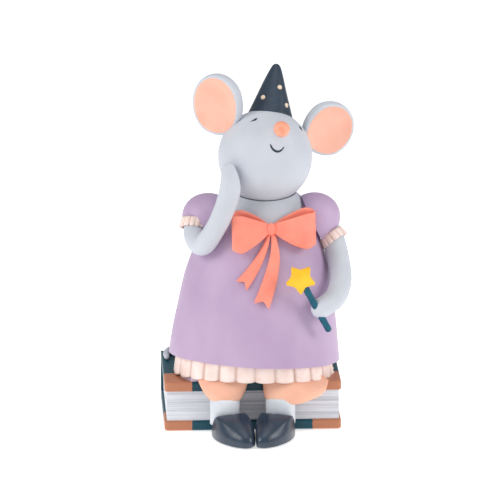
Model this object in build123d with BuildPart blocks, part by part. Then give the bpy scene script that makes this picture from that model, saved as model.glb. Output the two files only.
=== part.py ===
"""Clockwork mouse: a moulded figure of a mouse in a dress and a pointed hat, seated on a thick closed book.

A spring motor stands upright inside the dress. Its key comes out of the back, and its crank turns the
head from side to side while the arm that holds the wand swings forward.

Units are millimetres. The origin is the middle of the book's underside, +Z is up, -Y is the mouse's front.
Left and right are the mouse's own, so the right arm (at -X) is the one raised to the cheek.
"""

import os
from math import acos, cos, pi, radians, sin, sqrt, tan

from build123d import *

os.makedirs("parts", exist_ok=True)

GAP = 0.3  # between moulded pieces that move past each other
GLUE = 0.1  # between moulded pieces that are glued
RUNNING = 0.05  # radial clearance of a shaft in its hole
WALL = 2.5  # of the moulded shells
SCREW_R, SCREW_HEAD_R, SCREW_HEAD, SLOT = 1.2, 2.3, 1.6, 0.7

ON_BASE = (Align.CENTER, Align.CENTER, Align.MIN)


def save(builder, name):
    """Labels a finished piece and writes it as its own node."""
    builder.part.label = name
    export_step(builder.part, f"parts/{name}.step")


def rod(start, direction, length, radius):
    """A round bar from a start point along a direction."""
    return Solid.make_cylinder(radius, length, Plane(start, z_dir=direction))


def bar(x, z, y_from, y_to, radius):
    """A round bar along Y."""
    return rod((x, y_from, z), (0, 1, 0), y_to - y_from, radius)


def facing_front(y):
    """The plane at y that looks at the mouse's front. Its own axes are X and Z."""
    return Plane.XZ.offset(-y)


def limb(stations):
    """A soft rounded limb through stations, each one a centre and a radius."""
    with BuildPart() as form:
        for (start, start_r), (end, end_r) in zip(stations, stations[1:]):
            reach = Vector(end) - Vector(start)
            with Locations(Plane(start, z_dir=reach).location):
                Cone(start_r, end_r, reach.length, align=ON_BASE)
        for centre, radius in stations:
            with Locations(centre):
                Sphere(radius * 1.005)
    return form.part


# ---------------------------------------------------------------- the book under the figure
BOOK_WIDTH, BOOK_FRONT, BOOK_BACK, BOOK_HEIGHT = 88.0, -32.0, 32.0, 25.0
BOARD, SPINE_DEPTH = 5.0, 4.0
PAGE_INSET, PAGE_WALL = 1.2, 3.0
BOOK_SCREW_SPAN = (72.0, 44.0)
BOOK_SCREW_LENGTH = 12.0
SEAT_SCREWS = ((-20, -12), (24, -12), (6, 12))  # up through the book into the seat plate

cover_depth = BOOK_BACK - SPINE_DEPTH - BOOK_FRONT
cover_middle = BOOK_FRONT + cover_depth / 2
page_bottom, page_top = BOARD, BOOK_HEIGHT - BOARD


def cover_board(bottom):
    """One cover board of the book, with its free edges rounded."""
    with BuildPart() as board:
        with BuildSketch(Plane.XY.offset(bottom)):
            with Locations((0, cover_middle)):
                Rectangle(BOOK_WIDTH, cover_depth)
        extrude(amount=BOARD)
        fillet(board.edges().filter_by(Axis.Z).group_by(Axis.Y)[0], 1.5)
        at_spine = board.edges().filter_by(Axis.X).group_by(Axis.Y)[-1]
        fillet(board.faces().filter_by(Axis.Z).edges() - at_spine, 1.0)
    return board.part


with BuildPart() as book_lower_cover:
    add(cover_board(0))
    with Locations(Plane((0, cover_middle, 0), x_dir=(1, 0, 0), z_dir=(0, 0, -1))):
        with GridLocations(*BOOK_SCREW_SPAN, 2, 2):
            CounterBoreHole(SCREW_R + GLUE, SCREW_HEAD_R + 2 * GLUE, 2.2, depth=BOARD)
save(book_lower_cover, "book_lower_cover")

with BuildPart() as book_pages:
    page_width, page_depth = BOOK_WIDTH - 2 * PAGE_INSET, cover_depth - PAGE_INSET
    with BuildSketch(Plane.XY.offset(page_bottom)):
        with Locations((0, cover_middle + PAGE_INSET / 2)):
            Rectangle(page_width, page_depth)
            Rectangle(page_width - 2 * PAGE_WALL, page_depth - 2 * PAGE_WALL, mode=Mode.SUBTRACT)
        with Locations((0, cover_middle)):
            with GridLocations(*BOOK_SCREW_SPAN, 2, 2):
                Circle(4)
                Circle(SCREW_R, mode=Mode.SUBTRACT)
    extrude(amount=page_top - page_bottom)
save(book_pages, "book_pages")

with BuildPart() as book_screws:
    with Locations((0, cover_middle, 2.2)):
        with GridLocations(*BOOK_SCREW_SPAN, 2, 2):
            Cylinder(SCREW_R, BOOK_SCREW_LENGTH, align=ON_BASE)
            Cylinder(SCREW_HEAD_R, SCREW_HEAD, align=(Align.CENTER, Align.CENTER, Align.MAX))
    with Locations((0, cover_middle, 2.2 - SCREW_HEAD)):
        with GridLocations(*BOOK_SCREW_SPAN, 2, 2):
            Box(3.4, SLOT, SLOT * 2, mode=Mode.SUBTRACT)
            Box(SLOT, 3.4, SLOT * 2, mode=Mode.SUBTRACT)
save(book_screws, "book_screws")

with BuildPart() as book_upper_cover:
    add(cover_board(page_top))
    with Locations(*[(x, y, page_top) for x, y in SEAT_SCREWS]):
        Cylinder(SCREW_R + GLUE, BOARD, align=ON_BASE, mode=Mode.SUBTRACT)
save(book_upper_cover, "book_upper_cover")

with BuildPart() as book_spine:
    with BuildSketch(Plane.YZ.offset(-BOOK_WIDTH / 2)):
        with BuildLine():
            low, high = (BOOK_BACK - SPINE_DEPTH, 0), (BOOK_BACK - SPINE_DEPTH, BOOK_HEIGHT)
            Line(high, low)
            ThreePointArc(low, (BOOK_BACK, BOOK_HEIGHT / 2), high)
        make_face()
    extrude(amount=BOOK_WIDTH)
save(book_spine, "book_spine")

# ---------------------------------------------------------------- the form of the dressed body
# Each section is its height, its middle in X and Y, and its half width and half depth.
BODY_SECTIONS = (
    (18, 1.3, -12.2, 43.6, 39.4),
    (30, 1.4, -11.5, 43.0, 38.5),
    (45, 1.8, -9.5, 41.4, 35.5),
    (60, 2.7, -6.8, 39.0, 32.2),
    (75, 3.6, -4.2, 36.2, 29.0),
    (90, 4.2, -2.6, 31.0, 24.4),
    (100, 4.9, -2.0, 26.6, 20.8),
    (108, 6.2, -1.4, 21.8, 17.2),
    (114, 7.4, -1.0, 16.5, 13.5),
)
HEM_HEIGHT, HEM_SLOPE_X, HEM_SLOPE_Y = 32.0, 0.058, 0.09
NECKLINE_HEIGHT, NECKLINE_SLOPE = 111.0, 0.42
FRILL_HEIGHT, FRILL_SLOPE_X, FRILL_SLOPE_Y = 22.3, 0.03, 0.13  # of its lower edge
FRILL_THICK, FRILL_OVERLAP = 1.8, 4.0
HEAD_CENTRE, HEAD_R = Vector(7.5, -1.0, 132.6), 23.6
SOCKET_R = HEAD_R + GAP + 0.1
AXIS_Y = HEAD_CENTRE.Y  # the neck, both shoulders and the seam of the shells are here

hem_plane = Plane((0, 0, HEM_HEIGHT), z_dir=(HEM_SLOPE_X, HEM_SLOPE_Y, 1))
frill_plane = Plane((0, 0, FRILL_HEIGHT), z_dir=(FRILL_SLOPE_X, FRILL_SLOPE_Y, 1))
neckline_plane = Plane((0, 0, NECKLINE_HEIGHT), z_dir=(0, -NECKLINE_SLOPE, 1))
seam_plane = facing_front(AXIS_Y)


def body_form(grow):
    """The solid form of the dressed body, with every section grown outwards."""
    with BuildPart() as form:
        for height, x, y, half_width, half_depth in BODY_SECTIONS:
            with BuildSketch(Plane((x, y, height))):
                Ellipse(half_width + grow, half_depth + grow)
        loft()
    return form.part


body_outside, body_inside = body_form(0), body_form(-WALL)
behind_frill = body_form(-WALL - GLUE - FRILL_THICK - GAP)

# The left shoulder's shaft leans up and outwards, square to a round pad on the dress.
SHOULDER = Vector(31.1, AXIS_Y, 100.5)
SHOULDER_LEAN = radians(25)
SLEEVE_R, SLEEVE_HEIGHT = 12.8, 12.0
PAD_R, PAD_DEPTH = 11.0, 6.7
SHAFT_R, SHAFT_IN_SLEEVE, BUSH_R, BUSH_LENGTH = 2.0, 5.0, 4.0, 8.7
shoulder_axis = Vector(cos(SHOULDER_LEAN), 0, sin(SHOULDER_LEAN))
shoulder_plane = Plane(SHOULDER, x_dir=(0, 1, 0), z_dir=shoulder_axis)
pad = rod(shoulder_plane.offset(-PAD_DEPTH - GAP).origin, shoulder_axis, PAD_DEPTH, PAD_R)
sleeve_sweep = rod(shoulder_plane.offset(-GAP).origin, shoulder_axis, 20, SLEEVE_R + 1.2)
bush_bore = rod(shoulder_plane.offset(-GAP - BUSH_LENGTH).origin, shoulder_axis, 20, BUSH_R)

# The raised right arm and its fixed sleeve mirror that shoulder across the middle of the chest.
CHEST_X = 5.8
right_axis = Vector(-shoulder_axis.X, 0, shoulder_axis.Z)
right_shoulder = Vector(2 * CHEST_X - SHOULDER.X, AXIS_Y, SHOULDER.Z)
right_plane = Plane(right_shoulder, x_dir=(0, 1, 0), z_dir=right_axis)

# ---------------------------------------------------------------- where the spring motor stands
MODULE = 0.6
GREAT_TEETH, SECOND_TEETH, THIRD_TEETH, PINION_TEETH = 48, 40, 30, 12
GREAT_TO_SECOND, SECOND_TO_THIRD, THIRD_TO_FLY = 60, -10, -80  # degrees in the X-Z plane


def away(start, distance, angle):
    """The point in the motor's X-Z plane at a distance and an angle from another."""
    return (start[0] + distance * cos(radians(angle)), start[1] + distance * sin(radians(angle)))


def meshing(wheel_teeth):
    """The distance between a wheel's centre and that of the pinion it drives."""
    return MODULE * (wheel_teeth + PINION_TEETH) / 2


second_at = (HEAD_CENTRE.X, 71.6)
great_at = away(second_at, -meshing(GREAT_TEETH), GREAT_TO_SECOND)
third_at = away(second_at, meshing(SECOND_TEETH), SECOND_TO_THIRD)
fly_at = away(third_at, meshing(THIRD_TEETH), THIRD_TO_FLY)

PLATE, PLATE_MARGIN = 1.2, 3.2
FRONT_PLATE_Y, REAR_PLATE_Y = -6.3, 8.5  # the faces that look at each other
PILLARS = ((-11, 80), (-19, 43), (26, 81), (26, 43))
PILLAR_R = 2.0
# Screws are given by their X, their Z and the Y that their heads sit at.
SHELL_SCREWS = ((-31, 46, 8.5), (34, 46, 9.0), (-17, 92, 11.0))
MOTOR_SCREWS = ((-11, 80, 18.0), (-19, 43, 18.0), (26, 43, 16.0))
SHELL_SCREW_REACH, MOTOR_SCREW_REACH = -9.0, 4.5
BOSS_R, KEY_HOLE_R, BACK = 3.6, 2.6, 60.0
STOP_AT, STOP_R, STOP_HEAD_R = (21.0, 57.5), 1.0, 3.0
STOP_TIP, STOP_HEAD_Y, STOP_HEAD = 8.1, 26.0, 3.0

# The tail lies on the book, round the back of the skirt to the book's corner.
TAIL_R, TAIL_BEND = 2.0, 7.0
TAIL_Z = BOOK_HEIGHT + TAIL_R + GLUE / 2
TAIL = ((-0.8, 19.5), (-13.0, 29.0), (-33.0, 28.6), (-42.0, 20.0), (-41.5, 9.0))


def tail_tube(radius):
    """The tail, or the channel that it sits in."""
    with BuildPart() as form:
        with BuildLine() as path:
            FilletPolyline(*[(x, y, TAIL_Z) for x, y in TAIL], radius=TAIL_BEND)
        with BuildSketch(path.line ^ 0):
            Circle(radius)
        sweep()
        with Locations((*TAIL[-1], TAIL_Z)):
            Sphere(radius * 1.01)
    return form.part


tail_form, tail_socket = tail_tube(TAIL_R), tail_tube(TAIL_R + GLUE)

# ---------------------------------------------------------------- the dress, in two shells
with BuildPart() as dress:
    add(body_outside)
    add(body_inside, mode=Mode.SUBTRACT)
    add(pad)
    add(sleeve_sweep, mode=Mode.SUBTRACT)
    add(bush_bore, mode=Mode.SUBTRACT)
    add(tail_socket, mode=Mode.SUBTRACT)
    with Locations(HEAD_CENTRE):
        Sphere(SOCKET_R, mode=Mode.SUBTRACT)
    split(bisect_by=hem_plane, keep=Keep.TOP)
    split(bisect_by=neckline_plane, keep=Keep.BOTTOM)

with BuildPart() as front_bosses:
    for x, z, seat in SHELL_SCREWS:
        add(bar(x, z, -BACK, AXIS_Y, BOSS_R))
    add(body_inside, mode=Mode.INTERSECT)

with BuildPart() as back_bosses:
    for x, z, seat in SHELL_SCREWS:
        add(bar(x, z, AXIS_Y, BACK, BOSS_R))
    for x, z, seat in MOTOR_SCREWS:
        add(bar(x, z, REAR_PLATE_Y + PLATE, BACK, BOSS_R))
    add(body_inside, mode=Mode.INTERSECT)

with BuildPart() as dress_front:
    add(dress.part)
    split(bisect_by=seam_plane, keep=Keep.TOP)
    add(front_bosses.part)
    for x, z, seat in SHELL_SCREWS:
        add(bar(x, z, SHELL_SCREW_REACH, AXIS_Y, SCREW_R), mode=Mode.SUBTRACT)
save(dress_front, "dress_front")

with BuildPart() as dress_back:
    add(dress.part)
    split(bisect_by=seam_plane, keep=Keep.BOTTOM)
    add(back_bosses.part)
    for x, z, seat in SHELL_SCREWS + MOTOR_SCREWS:
        add(bar(x, z, AXIS_Y, BACK, SCREW_R + GLUE), mode=Mode.SUBTRACT)
        add(bar(x, z, seat, BACK, SCREW_HEAD_R + 2 * GLUE), mode=Mode.SUBTRACT)
    add(bar(*great_at, AXIS_Y, BACK, KEY_HOLE_R), mode=Mode.SUBTRACT)
    add(bar(*STOP_AT, AXIS_Y, BACK, STOP_R + RUNNING), mode=Mode.SUBTRACT)
save(dress_back, "dress_back")

with BuildPart() as back_screws:
    for screws, reach in ((SHELL_SCREWS, SHELL_SCREW_REACH), (MOTOR_SCREWS, MOTOR_SCREW_REACH)):
        for x, z, seat in screws:
            add(bar(x, z, reach, seat, SCREW_R))
            add(bar(x, z, seat, seat + SCREW_HEAD, SCREW_HEAD_R))
            with Locations((x, seat + SCREW_HEAD, z)):
                Box(3.4, SLOT * 2, SLOT, mode=Mode.SUBTRACT)
                Box(SLOT, SLOT * 2, 3.4, mode=Mode.SUBTRACT)
save(back_screws, "back_screws")

SEAT_PLATE, SEAT_BOSS = 2.5, 5.0
with BuildPart() as seat_plate:
    add(behind_frill)
    with Locations((0, 0, BOOK_HEIGHT)):
        Box(120, -2 * BOOK_FRONT - 2, SEAT_PLATE, align=ON_BASE, mode=Mode.INTERSECT)
    with Locations(*[(x, y, BOOK_HEIGHT) for x, y in SEAT_SCREWS]):
        Cylinder(3.5, SEAT_PLATE + SEAT_BOSS, align=ON_BASE)
        Cylinder(SCREW_R, SEAT_PLATE + SEAT_BOSS, align=ON_BASE, mode=Mode.SUBTRACT)
    add(tail_socket, mode=Mode.SUBTRACT)
save(seat_plate, "seat_plate")

with BuildPart() as seat_screws:
    with Locations(*[(x, y, page_top) for x, y in SEAT_SCREWS]):
        Cylinder(SCREW_HEAD_R, SCREW_HEAD, align=(Align.CENTER, Align.CENTER, Align.MAX))
        Cylinder(SCREW_R, BOARD + SEAT_PLATE + SEAT_BOSS, align=ON_BASE)
save(seat_screws, "seat_screws")

with BuildPart() as hem_frill:
    add(body_form(-WALL - GLUE))
    add(body_form(-WALL - GLUE - FRILL_THICK), mode=Mode.SUBTRACT)
    split(bisect_by=hem_plane.offset(FRILL_OVERLAP), keep=Keep.BOTTOM)
    split(bisect_by=frill_plane, keep=Keep.TOP)
    with Locations((0, BOOK_FRONT - GAP, 0)):
        Box(120, 120, 2 * BOOK_HEIGHT, align=(Align.CENTER, Align.MIN, Align.CENTER), mode=Mode.SUBTRACT)
    add(tail_socket, mode=Mode.SUBTRACT)
save(hem_frill, "hem_frill")

with BuildPart() as tail:
    add(tail_form)
save(tail, "tail")

# ---------------------------------------------------------------- chest, neck and the two bushes
BUST_BOTTOM, NECK_BUSH_R = 104.0, 3.5
NECK_BUSH_BOTTOM, NECK_BUSH_TOP = 97.0, 108.0

with BuildPart() as chest_in_dress:
    add(body_form(-WALL - GLUE))
    split(bisect_by=Plane.XY.offset(BUST_BOTTOM), keep=Keep.TOP)

with BuildPart() as chest_above_dress:
    add(body_form(-0.8))
    split(bisect_by=neckline_plane.offset(GLUE), keep=Keep.TOP)

with BuildPart() as bust:
    add(chest_in_dress.part)
    add(chest_above_dress.part)
    with Locations((HEAD_CENTRE.X, AXIS_Y, NECK_BUSH_BOTTOM)):
        Cylinder(NECK_BUSH_R + 2, BUST_BOTTOM - NECK_BUSH_BOTTOM + 1, align=ON_BASE)
        Cylinder(NECK_BUSH_R, 20, align=ON_BASE, mode=Mode.SUBTRACT)
    with Locations(HEAD_CENTRE):
        Sphere(SOCKET_R, mode=Mode.SUBTRACT)
    add(sleeve_sweep, mode=Mode.SUBTRACT)
    add(rod(shoulder_plane.offset(-12).origin, shoulder_axis, 20, PAD_R + GLUE), mode=Mode.SUBTRACT)
save(bust, "bust")

with BuildPart() as neck_bush:
    with Locations((HEAD_CENTRE.X, AXIS_Y, NECK_BUSH_BOTTOM)):
        Cylinder(NECK_BUSH_R, NECK_BUSH_TOP - NECK_BUSH_BOTTOM, align=ON_BASE)
        Cylinder(SHAFT_R + RUNNING, NECK_BUSH_TOP - NECK_BUSH_BOTTOM, align=ON_BASE, mode=Mode.SUBTRACT)
save(neck_bush, "neck_bush")

with BuildPart() as shoulder_bush:
    with Locations(shoulder_plane.offset(-GAP - BUSH_LENGTH).location):
        Cylinder(BUSH_R, BUSH_LENGTH, align=ON_BASE)
        Cylinder(SHAFT_R + RUNNING, BUSH_LENGTH, align=ON_BASE, mode=Mode.SUBTRACT)
save(shoulder_bush, "shoulder_bush")

# ---------------------------------------------------------------- legs and shoes, in front of the book
SKIRT_CLEAR = frill_plane.offset(-GAP)
SOCK_BOTTOM, SOCK_TOP = 6.0, 20.0

with BuildPart() as skirt_zone:
    add(body_form(8))
    add(behind_frill, mode=Mode.SUBTRACT)
    split(bisect_by=SKIRT_CLEAR, keep=Keep.TOP)

# For each side: bloomer centre and half sizes, ankle X, shoe middle X and its turn about Z.
LEGS = {
    "right": ((-14.8, -39.4, 27.0), (11.8, 7.0, 10.6), -13.3, -9.4, 20),
    "left": ((20.4, -39.4, 26.0), (15.0, 7.0, 10.4), 14.3, 9.9, -23),
}
ANKLE_Y, ANKLE_HALF_WIDTH, ANKLE_HALF_DEPTH = -40.8, 7.4, 6.2
SHOE_Y, SHOE_HALF_WIDTH, SHOE_HALF_LENGTH, SHOE_CROWN = -50.4, 8.6, 17.4, 9.2
for side, (bloomer_at, bloomer_half, ankle_x, shoe_x, turn) in LEGS.items():
    puff = Pos(*bloomer_at) * scale(Sphere(1), by=bloomer_half)
    upper = Pos(shoe_x, SHOE_Y, 2.6) * Rot(0, 0, turn) * scale(
        Sphere(1), by=(SHOE_HALF_WIDTH, SHOE_HALF_LENGTH, SHOE_CROWN)
    )
    with BuildPart() as sock:
        with BuildSketch(Plane((ankle_x, ANKLE_Y, SOCK_BOTTOM))):
            Ellipse(ANKLE_HALF_WIDTH, ANKLE_HALF_DEPTH)
        extrude(amount=SOCK_TOP - SOCK_BOTTOM)
    save(sock, f"sock_{side}")
    with BuildPart() as bloomer:
        add(puff)
        add(skirt_zone.part, mode=Mode.SUBTRACT)
        with Locations((0, BOOK_FRONT - GAP, 0)):
            Box(200, 200, 100, align=(Align.CENTER, Align.MIN, Align.CENTER), mode=Mode.SUBTRACT)
        add(sock.part, mode=Mode.SUBTRACT)
    save(bloomer, f"bloomer_{side}")
    with BuildPart() as shoe:
        add(upper)
        split(bisect_by=Plane.XY, keep=Keep.TOP)
        if side == "right":
            split(bisect_by=Plane.YZ.offset(-GAP / 2), keep=Keep.BOTTOM)
        else:
            split(bisect_by=Plane.YZ.offset(GAP / 2), keep=Keep.TOP)
        add(sock.part, mode=Mode.SUBTRACT)
        with BuildSketch(Plane((ankle_x, ANKLE_Y - 1, SOCK_BOTTOM))):
            Ellipse(ANKLE_HALF_WIDTH - 0.6, ANKLE_HALF_DEPTH + 1.2)
        extrude(amount=20, mode=Mode.SUBTRACT)
        with Locations((0, BOOK_FRONT - GAP, 0)):
            Box(200, 200, 100, align=(Align.CENTER, Align.MIN, Align.CENTER), mode=Mode.SUBTRACT)
    save(shoe, f"shoe_{side}")

# ---------------------------------------------------------------- the raised right arm
RIGHT_ARM = (
    ((-25.0, -3.0, 103.0), 4.8),
    ((-28.4, -8.0, 98.5), 5.0),
    ((-28.0, -14.0, 94.0), 5.2),
    ((-24.6, -20.5, 91.3), 5.3),
    ((-18.5, -24.0, 101.0), 5.1),
    ((-13.2, -24.6, 112.0), 5.2),
    ((-10.7, -23.9, 121.0), 5.4),
    ((-11.0, -22.6, 128.0), 4.3),
    ((-11.6, -21.6, 131.4), 2.9),
)
CUFF_R, CUFF_LENGTH = 6.7, 3.6
right_arm_form = limb(RIGHT_ARM)
right_arm_socket = limb([(centre, radius + GLUE) for centre, radius in RIGHT_ARM])


sleeve_puff = scale(Sphere(1), by=(SLEEVE_R, SLEEVE_R, SLEEVE_HEIGHT))


def sleeve_form(plane):
    """A puffed sleeve: half an ellipsoid standing on its shoulder plane."""
    with BuildPart() as form:
        add(sleeve_puff)
        split(bisect_by=Plane.XY, keep=Keep.TOP)
    return plane.location * form.part


def cuff_form(stations, along):
    """A ring of frill round a limb's first stretch."""
    start, end = Vector(stations[0][0]), Vector(stations[1][0])
    return rod(start + (end - start) * along, end - start, CUFF_LENGTH, CUFF_R)


with BuildPart() as right_arm:
    add(right_arm_form)
    add(body_form(GLUE), mode=Mode.SUBTRACT)
save(right_arm, "right_arm")

with BuildPart() as right_cuff:
    add(cuff_form(RIGHT_ARM[1:], -0.1))
    add(right_arm_socket, mode=Mode.SUBTRACT)
    add(body_form(GLUE), mode=Mode.SUBTRACT)
save(right_cuff, "right_cuff")

with BuildPart() as right_sleeve:
    add(sleeve_form(right_plane.offset(-3)))
    with Locations(right_plane.offset(2).location):
        Sphere(SLEEVE_R - 0.6)
    add(body_form(GLUE), mode=Mode.SUBTRACT)
    add(right_arm_socket, mode=Mode.SUBTRACT)
    add(cuff_form(RIGHT_ARM[1:], -0.1), mode=Mode.SUBTRACT)
    with Locations(HEAD_CENTRE):
        Sphere(SOCKET_R, mode=Mode.SUBTRACT)
save(right_sleeve, "right_sleeve")

# ---------------------------------------------------------------- the left arm, which swings with its wand
LEFT_ARM = (
    ((37.5, -2.0, 99.0), 4.9),
    ((42.3, -5.0, 91.3), 5.2),
    ((43.9, -11.0, 80.8), 5.15),
    ((45.1, -19.0, 73.2), 5.1),
    ((41.6, -28.0, 67.0), 5.0),
    ((33.9, -35.0, 62.6), 4.9),
)
WAND_R, STAR_R, STAR_WAIST, STAR_THICK = 1.75, 8.0, 4.3, 4.0
star_at, wand_end = Vector(24.7, -38.5, 78.8), Vector(39.1, -36.0, 51.3)
wand_axis = (wand_end - star_at).normalized()
WAND_START = 3.0  # from the middle of the star
wand_form = rod(star_at + wand_axis * WAND_START, wand_axis, (wand_end - star_at).length - WAND_START, WAND_R)
left_arm_form = limb(LEFT_ARM)
left_cuff_form = cuff_form(LEFT_ARM[1:], -0.25)

with BuildPart() as left_arm:
    add(left_arm_form)
    add(wand_form, mode=Mode.SUBTRACT)
    add(rod(SHOULDER, shoulder_axis, SHAFT_IN_SLEEVE, SHAFT_R), mode=Mode.SUBTRACT)
save(left_arm, "left_arm")

with BuildPart() as left_cuff:
    add(left_cuff_form)
    add(limb([(centre, radius + GLUE) for centre, radius in LEFT_ARM[:3]]), mode=Mode.SUBTRACT)
    add(rod(shoulder_plane.origin, -shoulder_axis, 20, SLEEVE_R + 9), mode=Mode.SUBTRACT)
save(left_cuff, "left_cuff")

with BuildPart() as left_sleeve:
    add(sleeve_form(shoulder_plane))
    add(limb([(centre, radius + GLUE) for centre, radius in LEFT_ARM[:3]]), mode=Mode.SUBTRACT)
    add(left_cuff_form, mode=Mode.SUBTRACT)
    add(rod(SHOULDER, shoulder_axis, SHAFT_IN_SLEEVE, SHAFT_R), mode=Mode.SUBTRACT)
save(left_sleeve, "left_sleeve")

with BuildPart() as wand_rod:
    add(wand_form)
save(wand_rod, "wand_rod")

with BuildPart() as wand_star:
    across = wand_axis.cross(Vector(0, 1, 0))
    star_plane = Plane(star_at, x_dir=across, z_dir=across.cross(wand_axis))
    points = []
    for step in range(10):
        reach = STAR_R if step % 2 == 0 else STAR_WAIST
        points.append((reach * sin(radians(36 * step)), reach * cos(radians(36 * step))))
    with BuildSketch(star_plane.offset(-STAR_THICK / 2)):
        Polygon(*points, align=None)
    extrude(amount=STAR_THICK)
    add(wand_form, mode=Mode.SUBTRACT)
save(wand_star, "wand_star")

# ---------------------------------------------------------------- the bow at the neckline
BOW_KNOT = (9.5, 102.7)
LEFT_LOOP = ((12, 105), (17, 108.6), (26, 109.8), (30.6, 107.4), (31, 101), (29.5, 93.5), (25.5, 90.8), (18, 92.4))
RIGHT_LOOP = ((7.4, 105), (3.5, 108.6), (-4.5, 110.2), (-8.8, 109), (-9.4, 102), (-8, 94.5), (-5, 90.8), (0.5, 92))
RIGHT_TAIL = ((7.5, 97), (-1, 85.5), (-9, 78), (-5, 77.2), (-3.6, 72.4), (1.8, 77.6), (9.5, 94))
LEFT_TAIL = ((9.8, 97), (3, 75), (0, 67), (4.5, 68.4), (7.6, 63.6), (13, 79), (14.3, 91), (12.5, 98))
bow_outside, bow_inside = body_form(6.6), body_form(0.4)
tail_outside = body_form(2.2)


def draped(outline, outside):
    """A panel with an outline seen from the front, lying between the dress and an outer form."""
    with BuildPart() as form:
        with BuildSketch(facing_front(-10)):
            Polygon(*outline, align=None)
        extrude(amount=60)
        add(outside, mode=Mode.INTERSECT)
        add(bow_inside, mode=Mode.SUBTRACT)
    return form.part


with BuildPart() as bow_knot:
    with Locations((BOW_KNOT[0], -26.2, BOW_KNOT[1] - 0.7)):
        Cylinder(3.2, 12)
    add(bow_inside, mode=Mode.SUBTRACT)
save(bow_knot, "bow_knot")

for side, outline in (("left", LEFT_LOOP), ("right", RIGHT_LOOP)):
    with BuildPart() as bow_loop:
        add(draped(outline, bow_outside))
        add(bow_knot.part, mode=Mode.SUBTRACT)
        add(sleeve_sweep, mode=Mode.SUBTRACT)
        add(rod(shoulder_plane.offset(-12).origin, shoulder_axis, 20, PAD_R + GAP), mode=Mode.SUBTRACT)
        add(limb([(centre, radius + GAP) for centre, radius in RIGHT_ARM[4:7]]), mode=Mode.SUBTRACT)
        with Locations(HEAD_CENTRE):
            Sphere(SOCKET_R, mode=Mode.SUBTRACT)
    save(bow_loop, f"bow_loop_{side}")

with BuildPart() as bow_tails:
    add(draped(RIGHT_TAIL, tail_outside))
    add(draped(LEFT_TAIL, tail_outside))
    add(bow_knot.part, mode=Mode.SUBTRACT)
save(bow_tails, "bow_tails")

# ---------------------------------------------------------------- the head, on its spindle
NOSE, NOSE_R = Vector(14.7, -20.5, 150.8), 4.0
SNOUT_BASE_R, SNOUT_TIP_R = 15.0, 4.6
HAT_AXIS, HAT_BASE_R, HAT_HEIGHT, HAT_TIP_R = Vector(0.14, 0.39, 0.91).normalized(), 10.8, 47.4, 1.6
EARS = {
    "right": (Vector(-16.3, 3.0, 158.3), Vector(-0.60, -0.78, -0.05)),
    "left": (Vector(39.2, 11.0, 143.8), Vector(0.40, -0.88, -0.18)),
}
EAR_R, EAR_THICK, DISH_R, DISH_DEPTH, LINING = 14.2, 6.4, 12.6, 2.2, 0.9
dish_sphere_r = (DISH_R**2 + DISH_DEPTH**2) / (2 * DISH_DEPTH)
NECK_BOSS_TOP, FLANGE, SPINDLE_TOP = 113.0, 1.8, 125.0
nose_direction = (NOSE - HEAD_CENTRE).normalized()
snout_start = HEAD_CENTRE + nose_direction * sqrt(HEAD_R**2 - SNOUT_BASE_R**2)
snout_length = (NOSE - snout_start).length - 1.2
head_ball = Pos(*HEAD_CENTRE) * Sphere(HEAD_R)

with BuildPart() as head_outside:
    add(head_ball)
    with Locations(Plane(snout_start, z_dir=nose_direction).location):
        Cone(SNOUT_BASE_R, SNOUT_TIP_R, snout_length, align=ON_BASE)

with BuildPart() as neck_boss:
    with Locations((HEAD_CENTRE.X, AXIS_Y, NECK_BOSS_TOP)):
        Cylinder(6.4, 10, align=(Align.CENTER, Align.CENTER, Align.MAX))
    add(head_ball, mode=Mode.INTERSECT)

with BuildPart() as head:
    add(head_outside.part)
    with Locations(HEAD_CENTRE):
        Sphere(HEAD_R - WALL, mode=Mode.SUBTRACT)
    add(neck_boss.part)
    with Locations((HEAD_CENTRE.X, AXIS_Y, NECK_BUSH_TOP)):
        Cylinder(SHAFT_R, 8, align=ON_BASE, mode=Mode.SUBTRACT)

with BuildPart() as nose:
    with Locations(NOSE):
        Sphere(NOSE_R)
    add(head_outside.part, mode=Mode.SUBTRACT)
save(nose, "nose")

for name, kept in (("head_face", Keep.TOP), ("head_back", Keep.BOTTOM)):
    with BuildPart() as head_shell:
        add(head.part)
        split(bisect_by=seam_plane, keep=kept)
    save(head_shell, name)

for side, (centre, normal) in EARS.items():
    ear_plane = Plane(centre, z_dir=normal)
    with BuildPart() as lining:
        with Locations(ear_plane.offset(EAR_THICK / 2 - DISH_DEPTH + dish_sphere_r).location):
            Sphere(dish_sphere_r)
            Sphere(dish_sphere_r - LINING, mode=Mode.SUBTRACT)
        with Locations(ear_plane.offset(EAR_THICK / 2).location):
            Cylinder(DISH_R, 2 * DISH_DEPTH, mode=Mode.INTERSECT)
        split(bisect_by=ear_plane.offset(EAR_THICK / 2), keep=Keep.BOTTOM)
        add(head_ball, mode=Mode.SUBTRACT)
    save(lining, f"ear_lining_{side}")
    with BuildPart() as ear:
        with Locations(ear_plane.location):
            Cylinder(EAR_R, EAR_THICK)
        fillet(ear.edges(), 1.6)
        with Locations(ear_plane.offset(EAR_THICK / 2 - DISH_DEPTH + dish_sphere_r).location):
            Sphere(dish_sphere_r, mode=Mode.SUBTRACT)
        add(head_ball, mode=Mode.SUBTRACT)
    save(ear, f"ear_{side}")

hat_plane = Plane(HEAD_CENTRE, z_dir=HAT_AXIS)
with BuildPart() as hat_cone:
    hat_foot = sqrt(HEAD_R**2 - HAT_BASE_R**2) - 1.5
    with Locations(hat_plane.offset(hat_foot).location):
        Cone(HAT_BASE_R, HAT_TIP_R, HAT_HEIGHT - HAT_TIP_R - hat_foot, align=ON_BASE)
    with Locations(hat_plane.offset(HAT_HEIGHT - HAT_TIP_R).location):
        Sphere(HAT_TIP_R)

STUD_R, STUD_LENGTH = 1.2, 1.4
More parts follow.
